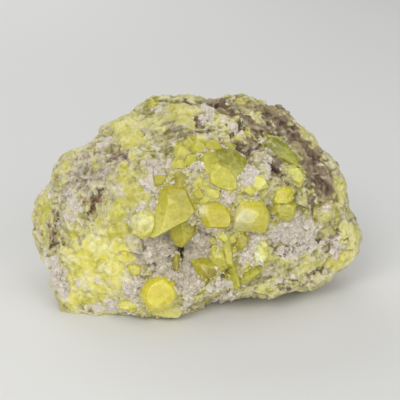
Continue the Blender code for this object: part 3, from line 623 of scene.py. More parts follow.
rockColours = dict(
    cream=((204, 199, 120), (204, 196, 168)),
    grey=((160, 147, 130), (206, 194, 180)),
    olive=((136, 130, 68), (178, 172, 98)),
    golden=((210, 200, 80), (222, 215, 120)),
    lime=((184, 177, 68), (208, 201, 112)),
    white=((196, 184, 168), (230, 221, 212)),
    brown=((98, 78, 65), (142, 120, 104)),
    rust=((132, 98, 76), (180, 150, 122)),
    wax=((172, 164, 50), (206, 200, 98)),
)


def rockFinish():
    look = Finish("stainedAndShadedRock")
    around = look.field("around", "Vector")
    fine, finer = look.clouds(2.6, 3.0, 3.0, rough=0.5), look.clouds(0.9, 3.0, 17.0)
    speck = look.clouds(0.25, 2.0, 29.0)
    streaks = look.clouds(1.0, 4.0, 7.0, stretch=(0.75, 1.2, 1.2), rough=0.55, along=around)
    streaky = streaks * 0.6 + finer * 0.4
    creased = look.field("creased")

    def mask(kind, low, high, shift, layers=0.4, broken=1.2):
        edge = (look.clouds(2.8, 3.0, shift, rough=0.5) - 0.5) * broken + (streaks - 0.5) * layers
        return (look.field(kind) + edge).between(low, high)

    def tints(kind, pattern, low, high):
        return look.mix(pattern.between(low, high), *rockColours[kind])

    golden = tints("golden", fine, 0.38, 0.62)
    golden = look.mix(look.clouds(5.0, 2.0, 95.0).between(0.46, 0.62) * 0.75, golden, (228, 224, 172))
    lime = tints("lime", fine, 0.38, 0.62)
    lime = look.mix(look.clouds(2.6, 3.0, 95.0).between(0.5, 0.62) * 0.6, lime, (212, 206, 150))
    lemon = look.mix(look.field("golden").between(0.2, 0.7), lime, golden)
    wax = tints("wax", look.clouds(2.8, 2.0, 111.0), 0.4, 0.6)
    wax = look.mix(look.field("olive").between(0.3, 0.8) * 0.7, wax, (146, 140, 48))
    lemonMask = mask("lemon", 0.25, 0.6, 61.0, 0.15)
    whiteMask = mask("white", 0.35, 0.65, 71.0)
    brownMask = mask("brown", 0.25, 0.6, 81.0, 0.9, 1.0)
    waxMask = mask("wax", 0.35, 0.6, 67.0, 0.0, 0.8)
    smooth = (lemonMask + whiteMask * 0.6).clipped()
    gritty = look.clouds(0.9, 3.0, 101.0, rough=0.6)
    broad = look.clouds(5.5, 2.0, 121.0)
    colour = look.layered(  # the stains, and dark crack lines that are partly painted shadow
        tints("cream", fine, 0.4, 0.6),
        (streaky.between(0.5, 0.62) * 0.5, (180, 173, 112)),
        (mask("grey", 0.25, 0.65, 33.0), tints("grey", streaky, 0.4, 0.6)),
        (mask("olive", 0.35, 0.7, 53.0) * 0.9, tints("olive", streaky, 0.4, 0.6)),
        (lemonMask, lemon),
        (whiteMask, tints("white", fine, 0.36, 0.56)),
        (brownMask * (0.7 + 0.28 * streaks.between(0.56, 0.44)), tints("brown", streaky, 0.42, 0.58)),
        (mask("rust", 0.35, 0.7, 87.0, 0.5, 1.0) * 0.85, tints("rust", finer, 0.4, 0.6)),
        ((streaks - 0.5).math("ABSOLUTE").between(0.018, 0.0) * (0.65 - 0.6 * smooth), (118, 106, 72)),
        # dark lines at the ledges' feet: partly real cracks, partly painted shadow
        (look.field("crack") * fine.between(0.4, 0.6) * 0.8, (92, 80, 54)),
    )
    shadow = look.multiplied(colour, (122, 110, 62), 0.6)
    colour = look.layered(  # painted shade in the creases and a painted highlight on the ridges
        colour,
        (creased.between(0.3, 1.8) * (0.55 - 0.4 * smooth), shadow),
        ((0.0 - creased).between(0.4, 2.2) * (0.35 - 0.25 * brownMask), (224, 219, 190)),
    )
    grit = look.multiplied(colour, (190, 184, 168))
    colour = look.mix(gritty.between(0.48, 0.36) * (0.4 - 0.36 * smooth), colour, grit)
    shade = look.multiplied(colour, (206, 200, 178))
    pepper = look.clouds(0.5, 2.0, 131.0, rough=0.6).between(0.57, 0.66)
    pepper = pepper * look.clouds(3.0, 2.0, 137.0).between(0.42, 0.6)
    peppered = (look.field("near") * 1.2 + look.field("grey") + look.field("olive") * 0.8).clipped()
    colour = look.layered(  # broad darker and paler patches, waxy sulfur, painted shade near the crystals, dark specks and what lies deep
        colour,
        (broad.between(0.5, 0.36) * (0.5 - 0.4 * smooth), shade),
        (broad.between(0.52, 0.64) * (0.3 - 0.3 * brownMask), (226, 220, 186)),
        (waxMask * 0.95, wax),
        # painted shade: the rock turns a darker dull yellow close to the crystals' feet
        (look.field("close") * 0.3, (190, 182, 110)),
        (pepper * (peppered * (1 - 0.8 * lemonMask)) * 0.9, (84, 80, 42)),
        (look.field("parting").between(0.3, 0.8) * 0.9, (84, 72, 50)),
        (look.field("under"), (196, 188, 84)),
    )
    dull = look.multiplied(colour, (214, 208, 196))
    colour = look.mix(look.field("tint").between(0.5, 0.0) * 0.3, colour, dull)
    height = look.clouds(0.7, 3.0, 5.0) * 0.7 + (1 - look.cells(0.9)) * 0.4
    height = height * (1 - 0.5 * lemonMask) * (1 - 0.8 * waxMask)
    roughness = 0.85 - 0.2 * whiteMask * speck.between(0.45, 0.6) - 0.15 * lemonMask - 0.3 * waxMask
    return look.surface(colour, roughness, look.bump(height, 0.4, 0.22), glow=(0.35, 0.8, 0.75, 0.6))


def sulfurFinish(name, clearness=0.06, milk=0.25):
    look = Finish(name)
    stainAndPaintedLight = look.field("stainAndPaintedLight", "Color")
    broad, fine = look.clouds(3.4, 2.0, 3.0), look.clouds(1.1, 3.0, 13.0)
    grown = look.clouds(1.6, 2.0, 23.0, stretch=(0.3, 2.2, 2.2), rough=0.5)
    dusty = look.clouds(0.7, 4.0, 51.0, rough=0.7)
    veil = look.clouds(1.9, 3.0, 61.0, stretch=(1.0, 0.6, 1.5), rough=0.6)
    steps = (look.clouds(2.4, 1.5, 41.0, stretch=(0.45, 1.3, 1.0)) * 14.0).math("FLOOR") / 14.0
    milky = (look.field("facet") * 0.7 + (fine - 0.5) * 1.2 + 0.1).between(0.3, 1.0)
    pale = look.mix(0.45, stainAndPaintedLight, (236, 232, 176))
    body = look.multiplied(stainAndPaintedLight, (226, 216, 160), (0.7 * broad + 0.3 * grown).between(0.6, 0.38) * 0.3)
    # the milky patches, then a painted highlight that makes the crystals' sharp edges paler
    body = look.layered(body, (milky * milk, pale), (look.field("edge") * (0.05 + 0.3 * fine), (228, 223, 150)))
    body = look.mix(veil.between(0.52, 0.4) * 0.3, body, look.multiplied(body, (208, 200, 128)))
    body = look.mix(veil.between(0.54, 0.66) * 0.3, body, pale)
    body = look.mix(dusty.between(0.5, 0.38) * 0.16, body, look.multiplied(body, (206, 198, 150)))
    body = look.mix(dusty.between(0.56, 0.68) * 0.16, body, (226, 222, 176))
    body = look.mix(steps.between(0.4, 0.6) * 0.16, body, pale)
    normal = look.bump(grown * 0.5 + fine * 0.2 + steps * 1.4, 0.3, 0.16)
    glassy = {"IOR": 1.5, "Transmission Weight": clearness}
    roughness = 0.26 + 0.22 * fine.between(0.4, 0.75)
    return look.surface(body, roughness, normal, glow=(0.75, 3.0, 2.6, 0.7), others=glassy)


# Each crystal's stains: u, v, reach and tint. Where it is worn: u, v, reach and strength.
crystalLooks = dict(
    sulfur_big=dict(
        stains=(
            (-8.1, 5.3, 3.4, (168, 156, 18)), (-3.6, 2.5, 2.6, (168, 158, 24)),
            (-9.7, 0.1, 5, (198, 190, 62)), (-5, -5, 4, (192, 184, 58)), (-11.8, -6.9, 4, (212, 208, 118)),
            (-14.2, -9.3, 2, (200, 196, 82)), (-4.8, 8.9, 2.2, (158, 146, 28)),
            (-7.2, 8, 1.5, (150, 140, 20)), (-16.6, -4.4, 3, (226, 223, 168)),
            (-18, -8.5, 2, (208, 203, 112)),
        ),
        worn=((-17.5, -4.6, 4, 1.2),),
    ),
    sulfur_tucked=dict(
        stains=(
            (-5.1, -2.9, 2, (184, 180, 46)), (-4.2, -8.1, 3, (178, 172, 34)), (-1.1, -5, 2, (124, 114, 22)),
            (-7.5, -11.4, 2, (176, 170, 58)),
        ),
        clearness=0.12,
        milk=0.25,
    ),
    sulfur_middle=dict(
        stains=(
            (6.2, -2.3, 3.6, (196, 184, 8)), (0.9, -0.6, 2.0, (234, 231, 204)), (8.9, -5, 2, (196, 186, 48)),
            (2.8, 1.6, 2, (204, 198, 84)),
        ),
    ),
    sulfur_right=dict(
        stains=(
            (14.1, -4.4, 2.8, (206, 202, 148)), (16.2, 1.4, 2, (212, 205, 62)),
            (20, -2.9, 2.5, (206, 199, 76)), (17.7, -7.8, 2, (200, 192, 52)),
        ),
    ),
    sulfur_upper=dict(
        stains=(
            (7.7, 8.3, 3, (200, 196, 64)), (4, 11.4, 2, (200, 196, 70)), (11.6, 5.3, 2, (208, 204, 90)),
            (8.6, 15.5, 3, (142, 140, 24)), (14.1, 12.3, 2.5, (158, 156, 34)), (-1, 14, 2.5, (168, 165, 44)),
            (3.5, 14.5, 2, (188, 184, 54)),
        ),
        worn=((10, 15.5, 4.5, 0.5), (15, 12.5, 3.5, 0.7), (-1, 14, 4, 0.5)),
    ),
    sulfur_wedged=dict(stains=((0.5, 2.6, 2, (164, 152, 40)), (4.6, 3.8, 2, (206, 200, 94)))),
    sulfur_front=dict(
        stains=(
            (-11.4, -26.3, 4, (218, 206, 36)), (-16, -25.5, 2, (212, 196, 34)),
            (-11, -33, 2, (216, 210, 122)), (-5.2, -31, 2.5, (212, 206, 132)),
            (-20, -30.6, 3, (210, 204, 78)),
        ),
        milk=0.2,
    ),
    sulfur_blade=dict(
        stains=((-6.3, -17, 3, (152, 144, 36)), (-6, -21, 2, (132, 120, 22))),
        clearness=0.12,
        milk=0.2,
    ),
    sulfur_small_left=dict(stains=((-19, -19.5, 3, (200, 191, 74)),), clearness=0.1),
    sulfur_lower_group=dict(
        stains=(
            (0.5, -19, 2.5, (178, 170, 44)), (4.3, -21, 1.6, (150, 134, 4)),
            (6.8, -16.3, 2.5, (200, 194, 72)), (8.9, -11, 2.5, (194, 187, 56)),
            (11.7, -22, 2, (184, 180, 64)), (16.2, -22, 3, (180, 176, 56)),
        ),
        clearness=0.12,
    ),
    sulfur_mid_small=dict(stains=((13.6, -10.5, 3, (174, 165, 46)),), clearness=0.1),
    sulfur_right_pair=dict(
        stains=((26.4, 3.5, 2.5, (206, 200, 66)), (27, -2.2, 2.5, (184, 179, 68))),
        worn=((27, 0, 9, 0.5),),
    ),
    sulfur_green_upper=dict(
        stains=((23, 19, 3, (124, 126, 10)), (29, 14, 3, (154, 155, 38))),
        worn=((26, 17, 9, 0.3),),
    ),
    sulfur_pale_upper=dict(stains=((30, 9, 3, (206, 205, 104)),), worn=((30, 9, 5, 0.25),)),
    sulfur_lemon_low=dict(
        stains=((18, -16, 1.8, (238, 236, 214)), (21, -14, 2, (232, 228, 130))),
        milk=0.4,
        worn=((19.3, -15, 6, 0.8),),
    ),
)
crystalSetup = dict(bevel=0.1, bevelAngle=12, faceAngle=4.0, smoothAngle=16, longest=0.9 * 1.6, unevenness=0.12)


def sharpness(obj):  # 1 at the points on the crystal's edges
    shape = bmesh.new()
    shape.from_mesh(obj.data)
    sharp = [max(edge.calc_face_angle(0.0) for edge in vertex.link_edges) for vertex in shape.verts]
    shape.free()
    return eased((np.array(sharp) - 0.12) / 0.3)


def cutFaces(obj):  # cuts the long edges twice over, so that the faces can be uneven
    pick(obj)
    setMode("EDIT")
    selectAll()
    bpy.ops.mesh.quads_convert_to_tris()
    for _ in range(2):
        selectAll("DESELECT")
        setMode("OBJECT")
        corners = pointsOf(obj)
        for edge in obj.data.edges:
            a, b = (corners[i] for i in edge.vertices)
            edge.select = bool(np.linalg.norm(a - b) > crystalSetup["longest"] * mm)
        setMode("EDIT")
        bpy.ops.mesh.select_mode(type="EDGE")
        bpy.ops.mesh.subdivide(number_cuts=2)
        selectAll()
        bpy.ops.mesh.quads_convert_to_tris()
    setMode("OBJECT")


def crystalTint(look, spots, normals):  # its stains run into each other, and the sides turned away from the face get painted light
    total, weight = 1e-6, 1e-6
    for u, v, reach, tint in look["stains"]:
        near = np.exp(-spread(spots, u, v, reach))[:, None] + 1e-5
        total, weight = total + near * np.array(linear(*tint)[:3]), weight + near
    paintedSideLight = 1 - np.clip(normals @ np.array(faceOut), 0, 1)  # painted light: the sides turned away from the face are made brighter
    return np.minimum(total / weight * (1 + 0.25 * eased(paintedSideLight / 0.8))[:, None], 0.86)


def buildCrystal(node, look):
    name = "sulfur" + "".join(part.title() for part in node.split("_")[1:])
    obj = copyOfNode(node, name)
    setMode("EDIT")
    selectAll()
    bpy.ops.mesh.dissolve_limited(angle_limit=math.radians(crystalSetup["faceAngle"]))
    setMode("OBJECT")
    chance = random.Random(node)
    facet = obj.data.attributes.new("facet", "FLOAT", "FACE")
    facet.data.foreach_set("value", [chance.random() for _ in obj.data.polygons])
    count = len(obj.data.polygons)
    bevel = dict(width=crystalSetup["bevel"] * mm, angle_limit=math.radians(crystalSetup["bevelAngle"]))
    useModifier(obj, "BEVEL", segments=2, limit_method="ANGLE", use_clamp_overlap=True, material=-1, **bevel)
    cutFaces(obj)
    keepField(obj, "edge", sharpness(obj))
    points, normals = pointsOf(obj), normalsOf(obj)
    spots = toFace(points)
    worn = np.zeros(len(points))
    for u, v, reach, strength in look.get("worn", ()):
        worn = np.maximum(worn, strength * np.exp(-(spread(spots, u, v, reach) ** 2)))
    rough = noiseOver(spots, 2.2, 3.0, 2) + 0.4 * noiseOver(spots, 0.7, 9.0)
    uneven = 0.12 + crystalSetup["unevenness"] * rough
    pitted = 0.9 * grainsOver(spots, 1.7) + 0.8 * noiseOver(spots, 2.6, 13.0, 2)
    uneven += worn * (pitted + 0.5 * noiseOver(spots, 0.9, 17.0))
    movePoints(obj, points + normals * uneven[:, None] * mm)
    keepColour(obj, "stainAndPaintedLight", crystalTint(look, spots, normals))
    bpy.ops.object.shade_smooth_by_angle(angle=math.radians(crystalSetup["smoothAngle"]))
    print(node, "facets", count)
    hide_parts(node)
    settings = {key: value for key, value in look.items() if key not in ("stains", "worn")}
    return finish(obj, sulfurFinish(name + "Finish", **settings))


# The white druse that lines the hollow. The gap is the dark place behind the blade: u, v, reach u, reach v.
druseSetup = dict(voxel=0.34, lumps=1.2, gritty=0.4, clumps=1.3, gap=(-5.0, -14.2, 1.5, 3.4), gapDepth=1.2)


def inGap(spots, u, v, reachU, reachV):
    return np.exp(-(((spots[:, 0] - u) / reachU) ** 2 + ((spots[:, 1] - v) / reachV) ** 2))


def buildDruse():
    obj = copyOfNode("spar_crust", "sparDruse")
    useModifier(obj, "REMESH", mode="VOXEL", voxel_size=druseSetup["voxel"] * mm)
    useModifier(obj, "SMOOTH", factor=0.6, iterations=2)
    points, normals = pointsOf(obj), normalsOf(obj)
    spots = toFace(points)
    gapU, gapV = druseSetup["gap"][:2]
    deep = inGap(spots, *druseSetup["gap"])
    relief = druseSetup["lumps"] * noiseOver(spots, 2.6, 3.0, 3)
    relief += druseSetup["gritty"] * noiseOver(spots, 0.7, 9.0, 2)
    relief += druseSetup["clumps"] * grainsOver(spots + 5.0, 2.2)
    relief = relief * eased(distanceTo(crystals, points, 2) / 1.2) - druseSetup["gapDepth"] * deep
    movePoints(obj, points + normals * relief[:, None] * mm)
    keepField(obj, "deep", deep)
    keepField(obj, "shaded", inGap(spots, gapU, gapV + 1.5, 3.6, 5.0))
    keepField(obj, "dull", eased((spots[:, 0] + 3) / 4) * eased((spots[:, 1] + 18) / 5))
    keepField(obj, "creased", creasesOf(obj, 0.4))
    return obj


def druseFinish():
    look = Finish("sparDruse")
    fine, speck = look.clouds(1.2, 4.0, 3.0), look.clouds(0.3, 3.0, 11.0)
    creased = look.field("creased")
    tint = look.layered(
        look.mix(fine.between(0.35, 0.65), (190, 177, 152), (222, 213, 197)),
        (speck.between(0.45, 0.7) * 0.6, (226, 219, 206)),
        (look.clouds(2.4, 2.0, 31.0).between(0.55, 0.7) * 0.6, (176, 168, 122)),
        (look.field("dull") * 0.85, (170, 160, 96)),
        # painted shade around the gap, in the creases and deep in the gap, and a painted highlight on the
        # ridges
        (look.field("shaded") * 0.5, (136, 124, 96)),
        (creased.between(0.2, 1.8) * 0.75, (132, 121, 96)),
        ((0.0 - creased).between(0.2, 1.6) * 0.6, (226, 219, 208)),
        (look.field("deep").between(0.3, 0.75), (78, 66, 46)),
    )
    return look.surface(tint, 0.75 - 0.25 * speck, look.bump(speck + (1 - look.cells(0.45)) * 0.7, 0.8, 0.25))


# Small crystals and grains are modelled once, about 1 across, and copied.


def blockTemplate():  # a stubby sulfur crystal
    obj = startPiece("blockTemplate", bpy.ops.mesh.primitive_cylinder_add, vertices=4, radius=0.5, depth=1.1)
    setMode("EDIT")
    selectAll()
    bpy.ops.mesh.bisect(plane_co=(0, 0, 0), plane_no=(0.1, 0, 1))
    for side in (1, -1):
        selectVertices(obj, lambda co: co.z * side > 0.4)
        bpy.ops.transform.resize(value=(0.42, 0.5, 1), center_override=(0.03, 0, 0))
    turnOutward()
    return obj


# Where the block is cut: a place on each plane and the way it faces.
gemCuts = (
    ((0.34, 0.3, 0.3), (1, 0.8, 0.7)), ((-0.36, 0.3, 0.25), (-1, 0.5, 0.8)),
    ((0.3, -0.36, 0.28), (0.5, -1, 0.6)), ((-0.3, -0.3, 0.34), (-0.6, -0.8, 1)),
    ((0.42, 0, -0.2), (1, 0.1, -0.4)), ((-0.2, 0.44, -0.1), (-0.2, 1, -0.3)),
    ((-0.42, -0.1, -0.1), (-1, -0.2, -0.2)), ((0, -0.1, 0.46), (0.12, -0.1, 1)),
)


def gemTemplate():  # a larger sulfur crystal: a block with its corners cut unevenly
    obj = startPiece("gemTemplate", bpy.ops.mesh.primitive_cube_add, size=1.0)
    setMode("EDIT")
    for place, facing in gemCuts:
        selectAll()
        bpy.ops.mesh.bisect(plane_co=place, plane_no=facing, clear_outer=True, use_fill=True)
    turnOutward()
    return obj


def toothTemplate():  # a pointed spar crystal
    shape = dict(vertices=6, radius1=0.34, radius2=0.0, depth=1.1)
    obj = startPiece("toothTemplate", bpy.ops.mesh.primitive_cone_add, **shape)
    third = math.tau / 3
    selectVertices(obj, lambda co: co.z < 0 and abs(math.atan2(co.y, co.x) % third - 0.52) < 0.3)
    bpy.ops.transform.translate(value=(0, 0, 0.3))
    setMode("OBJECT")
    return obj


def rhombTemplate():  # a skewed spar block
    obj = startPiece("rhombTemplate", bpy.ops.mesh.primitive_cube_add, size=0.8)
    selectVertices(obj, lambda co: co.z > 0)
    bpy.ops.transform.translate(value=(0.22, 0.14, 0))
    bpy.ops.transform.resize(value=(0.85, 0.95, 1))
    setMode("OBJECT")
    return obj


def crumbTemplate():  # a crumb of broken rock
    obj = startPiece("crumbTemplate", bpy.ops.mesh.primitive_ico_sphere_add, subdivisions=1, radius=0.5)
    setMode("EDIT")
    selectAll()
    bpy.ops.transform.vertex_random(offset=0.16, seed=4)
    bpy.ops.transform.resize(value=(1.1, 0.9, 0.7))
    setMode("OBJECT")
    return obj


def trianglesOf(obj, fieldNames):  # corners, normal and area of each, and its mean fields
    data = obj.data
    data.calc_loop_triangles()
    corners = readArray(data.loop_triangles, "vertices", 3, np.int32)
    points = pointsOf(obj)[corners]
    across = np.cross(points[:, 1] - points[:, 0], points[:, 2] - points[:, 0])
    area = np.linalg.norm(across, axis=1) / 2
    fields = {}
    for name in fieldNames:
        key, width = ("vector", 3) if name == "around" else ("value", 1)
        values = readArray(data.attributes[name].data, key, width)
        fields[name] = values[corners].mean(axis=1).squeeze()
    return points, across / (2 * area[:, None] + 1e-18), area / mm**2, fields


def meshOfCopies(name, template, corners):  # one mesh from the corners of each copy of the template
    size = len(template.data.vertices)
    shape = [list(polygon.vertices) for polygon in template.data.polygons]
    faces = [[first + i for i in face] for first in range(0, len(corners) * size, size) for face in shape]
    data = bpy.data.meshes.new(name)
    data.from_pydata(np.reshape(corners, (-1, 3)), [], faces)
    return startMesh(name, data)


def copies(name, template, places, uprights, sizes, luck):  # one mesh of turned copies of the template
    count = len(places)
    side = np.cross(uprights, luck.normal(0, 1, (count, 3)))
    side /= np.linalg.norm(side, axis=1)[:, None]
    axes = np.stack([side, np.cross(uprights, side), uprights], 1)  # rows are the copy's own axes
    axes = axes * luck.uniform(0.75, 1.25, (count, 3))[:, :, None] * sizes[:, None, None]
    shape = pointsOf(template)
    corners = np.einsum("vk,nkj->nvj", shape, axes) + places[:, None, :]
    kept = corners[:, :, 2].min(axis=1) > 0.05 * mm  # none reaches the ground
    corners = corners[kept]
    obj = meshOfCopies(name, template, corners)
    keepField(obj, "tint", np.repeat(luck.rand(len(corners)), len(shape)))
    return obj, kept


def strew(name, template, source, count, sizes, out, tilt, seed):  # copies of the template on a surface
    points, normals, area, fields, chances = source
    luck = np.random.RandomState(seed)
    weight = np.maximum(chances[name], 0) * area
    picked = luck.choice(len(area), count, p=weight / weight.sum())
    a, b = luck.rand(2, count)
    a, b = np.where(a + b > 1, 1 - a, a), np.where(a + b > 1, 1 - b, b)
    first, second, third = points[picked].transpose(1, 0, 2)
    place = first + a[:, None] * (second - first) + b[:, None] * (third - first)
    size = (sizes[0] + (sizes[1] - sizes[0]) * luck.rand(count) ** 2.2) * mm
    upright = normals[picked] + luck.normal(0, tilt, (count, 3))
    upright /= np.linalg.norm(upright, axis=1)[:, None]
    place = place + normals[picked] * (size * out)[:, None]
    obj, kept = copies(name, template, place, upright, size, luck)
    for kind, values in fields.items():
        repeated = np.repeat(values[picked][kept], len(template.data.vertices), axis=0)
        (keepPlace if kind == "around" else keepField)(obj, kind, repeated)
    return obj


# Smaller crystals of the group: u, v, length and width in mm, turn, shade from dark olive to whitish.
gemSpots = (
    (0.4, 3.3, 3.4, 2.6, -20, 0.4), (4.6, 3.8, 4.8, 3.0, -15, 0.9), (2.4, 1.7, 3.6, 2.4, 20, 0.65),
    (18.6, 6.6, 4.8, 4.2, 20, 1.0), (16.4, 4.8, 3.4, 3.0, 40, 0.85), (12.1, -8.9, 2.8, 3.1, 15, 0.35),
    (20.4, -12.2, 2.8, 2.4, 20, 1.05), (22.2, -14.2, 2.8, 3.0, 40, 1), (21.2, -17.9, 2.6, 2.2, -10, 0.9),
    (22.6, -16.4, 2.4, 2.2, 0, 1), (18.3, -12.9, 2.2, 2.0, 30, 1.2), (28.8, 4.4, 3.0, 2.6, 15, 0.75),
    (29.6, 0.6, 2.8, 2.6, 40, 0.6), (27.6, -4.6, 2.6, 2.4, -15, 0.65), (24.3, -1.7, 2.2, 2.2, 10, 0.5),
    (-4.4, 16.2, 4.4, 3.8, 10, 0.65), (0.6, 17.6, 5.2, 3.8, 5, 0.45), (5.0, 18.2, 5.0, 3.4, -10, 0.4),
    (9.9, 17.8, 4.6, 3.0, -15, 0.25), (-1.8, 13.6, 3.8, 3.4, 60, 0.55), (-4.8, 12.6, 3.0, 3.4, 70, 0.7),
    (-11.4, 7.7, 3.6, 3.4, 30, 0.3), (10.4, -10.6, 2.4, 3.8, 80, 0.6), (8.1, -9.8, 2.2, 3.2, 70, 0.8),
    (2.8, -12.1, 2.4, 2.2, 30, 0.7), (5.3, -10.9, 2.8, 2.4, 60, 0.85), (3.4, -13.8, 2.8, 2.4, -30, 0.75),
    (5.8, -13.2, 3.0, 2.4, 60, 0.6), (11.2, -13.6, 1.8, 2.4, 20, 0.7), (9.2, -21.8, 1.8, 2.6, 30, 0.6),
    (6.4, -14.4, 1.8, 1.6, 20, 0.9), (4.8, -16.2, 1.8, 2.0, 50, 0.95), (8.4, -18.2, 2.2, 1.6, 70, 0.6),
    (2.0, -15.4, 1.8, 1.6, 10, 0.7),
)


def placeGems(name, template, rock, seed):  # set on the skin, seen from in front of the face
    skin = treeOf([rock])
    luck = np.random.RandomState(seed)
    shape = pointsOf(template)
    corners, shades = [], []
    for u, v, along, across, turn, shade in gemSpots:
        start = (Vector(faceSetup["middle"]) + faceRight * u + faceUp * v + faceOut * 60) * mm
        hit, normal = skin.ray_cast(start, -faceOut)[:2]
        if hit is None:
            continue
        upright = (normal + faceOut * 0.8 + Vector(luck.normal(0, 0.35, 3))).normalized()
        side = faceRight * math.cos(math.radians(turn)) + faceUp * math.sin(math.radians(turn))
        side = (side - upright * side.dot(upright)).normalized()
        axes = np.array([side * along, upright.cross(side) * across, upright * across * 0.9]) * mm
        corners.append(shape @ axes + np.array(hit - normal * across * 0.12 * mm))  # sunk into the skin
        shades.append(shade)
    obj = meshOfCopies(name, template, corners)
    keepField(obj, "shade", np.repeat(shades, len(shape)))
    return obj


def gemFinish(name):
    look = Finish(name)
    shade = look.field("shade") + (look.clouds(1.6, 4.0, 3.0, rough=0.65) - 0.5) * 0.9
    colour = look.layered(
        look.mix(shade.between(0.0, 0.4), (146, 138, 50), (180, 173, 62)),
        (shade.between(0.4, 1.0), (214, 208, 112)),
        (shade.between(1.0, 1.4), (222, 219, 192)),
    )
    roughness = 0.36 + 0.2 * look.clouds(0.5, 2.0, 9.0)
    normal = look.bump(look.clouds(0.7, 3.0, 5.0), 0.3, 0.15)
    return look.surface(colour, roughness, normal, glow=(0.7, 2.0, 1.8, 0.6), others={"IOR": 1.5})


def grainFinish(name, dark, middle, bright, roughness, stainAndPaintedLight=None, glow=0.4, depth=0.4):
    look = Finish(name)
    tint = look.field("tint")
    speck = look.clouds(0.35, 2.0, 7.0)
    colour = look.mix(tint.between(0.0, 0.55), dark, middle)
    colour = look.mix(tint.between(0.55, 1.0), colour, bright)
    # a tint from one of the fields: a real grey stain on the spar grains, painted shade on the druse grains
    if stainAndPaintedLight:
        kind, stainedAndShaded = stainAndPaintedLight
        colour = look.mix((look.field(kind) + tint - 0.5).between(0.3, 0.8) * 0.7, colour, stainedAndShaded)
    colour = look.mix(speck.between(0.5, 0.8) * 0.2, colour, dark)
    return look.surface(colour, roughness + 0.25 * speck, glow=(glow, depth, depth, 0.8 * depth))


crystals = treeOf([obj for node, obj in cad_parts.items() if node.startswith("sulfur")])
rock = finish(buildRock(), rockFinish())
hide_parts("matrix_rock")
crystalNames = [buildCrystal(node, look).name for node, look in crystalLooks.items()]
print("rock and", len(crystalNames), "crystals built")
druse = finish(buildDruse(), druseFinish())
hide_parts("spar_crust")
print("druse built")


def sharp(field, low, high):
    return eased((field - low) / (high - low))


# Each surface that grains lie on gives its triangles, their fields and how thickly each kind lies there.


def rockSkin():
    names = [*backCloud, "parting", "crack", "close", "near", "under", "creased", "around"]
    points, normals, area, fields = trianglesOf(rock, names)
    bare = 1 - sharp(fields["under"], 0.05, 0.3)  # 1 where no crystal covers the rock
    facing = 0.35 + 0.65 * eased((toFace(points.mean(axis=1))[:, 2] + 2) / 14)  # 1 on the crystal face
    skin, collar = facing * bare, sharp(fields["close"], 0.3, 0.9) * bare
    lemon, brown, wax = fields["lemon"], fields["brown"], fields["wax"]
    dirty = 0.6 + fields["grey"] + fields["olive"] + brown
    golden = 1.15 - np.clip(fields["golden"], 0, 1)
    beside = 0.02 * sharp(lemon, 0.5, 0.9) + fields["close"] + 0.2 * fields["near"]
    chances = dict(
        lemonBlocks=skin * (0.02 + sharp(lemon, 0.4, 0.8)) * (1 - brown) * (1 - wax),
        rockCrumbs=skin * dirty * (1 - 0.8 * sharp(lemon, 0.4, 0.8)) * (1 - wax),
        sparGrains=skin * sharp(fields["white"], 0.45, 0.9) * (1 - brown) ** 2 * golden,
        sparTeeth=skin * sharp(fields["white"], 0.45, 0.95) * (1 - brown) ** 2 * golden,
        collarCrumbs=collar,
        collarTeeth=collar * (0.05 + fields["white"] + fields["grey"]),
        smallSulfur=skin * beside * (1 - 0.9 * brown),
    )
    return points, normals, area, fields, chances


def crystalSkin():
    parts = [trianglesOf(bpy.data.objects[made], []) for made in crystalNames]
    points, normals, area = (np.concatenate([part[i] for part in parts]) for i in range(3))
    middles = points.mean(axis=1)
    fields = zonesAt(middles)[1]
    away = distanceTo(treeOfNodes("matrix_rock", "spar_crust"), middles, 3)
    edge = eased((away - 0.3) / 0.3) * (1 - eased((away - 0.8) / 1.0))  # 1 just above the rock or the druse
    fields["edge"] = edge
    chances = dict(
        dustSulfur=edge * (0.4 + fields["lemon"]),
        dustSpar=edge**2 * (0.1 + fields["white"] + fields["grey"]),
    )
    return points, normals, area, fields, chances


def druseSkin():
    points, normals, area, fields = trianglesOf(druse, ["deep", "shaded"])
    chance = 1.0 - sharp(fields["deep"], 0.2, 0.6)
    return points, normals, area, fields, dict(druseGrains=chance, druseTeeth=chance)


onRock, onCrystals, onDruse = rockSkin(), crystalSkin(), druseSkin()
block, gem, tooth = blockTemplate(), gemTemplate(), toothTemplate()
rhomb, crumb = rhombTemplate(), crumbTemplate()
stainedAndShaded = rock.data.materials[0]
gems = grainFinish("smallSulfur", (186, 178, 74), (204, 197, 92), (216, 210, 132), 0.36, glow=0.6, depth=0.6)
# the spar grains take the real grey stain; the druse grains take painted shade from the druse's shaded field
# near the gap
greyish, shadedTint = ("grey", (192, 180, 158)), ("shaded", (160, 147, 118))
white = grainFinish("sparGrains", (204, 194, 177), (215, 206, 192), (226, 219, 208), 0.6, greyish)
dusty = grainFinish("druseGrains", (188, 177, 154), (206, 196, 176), (226, 219, 207), 0.6, shadedTint)
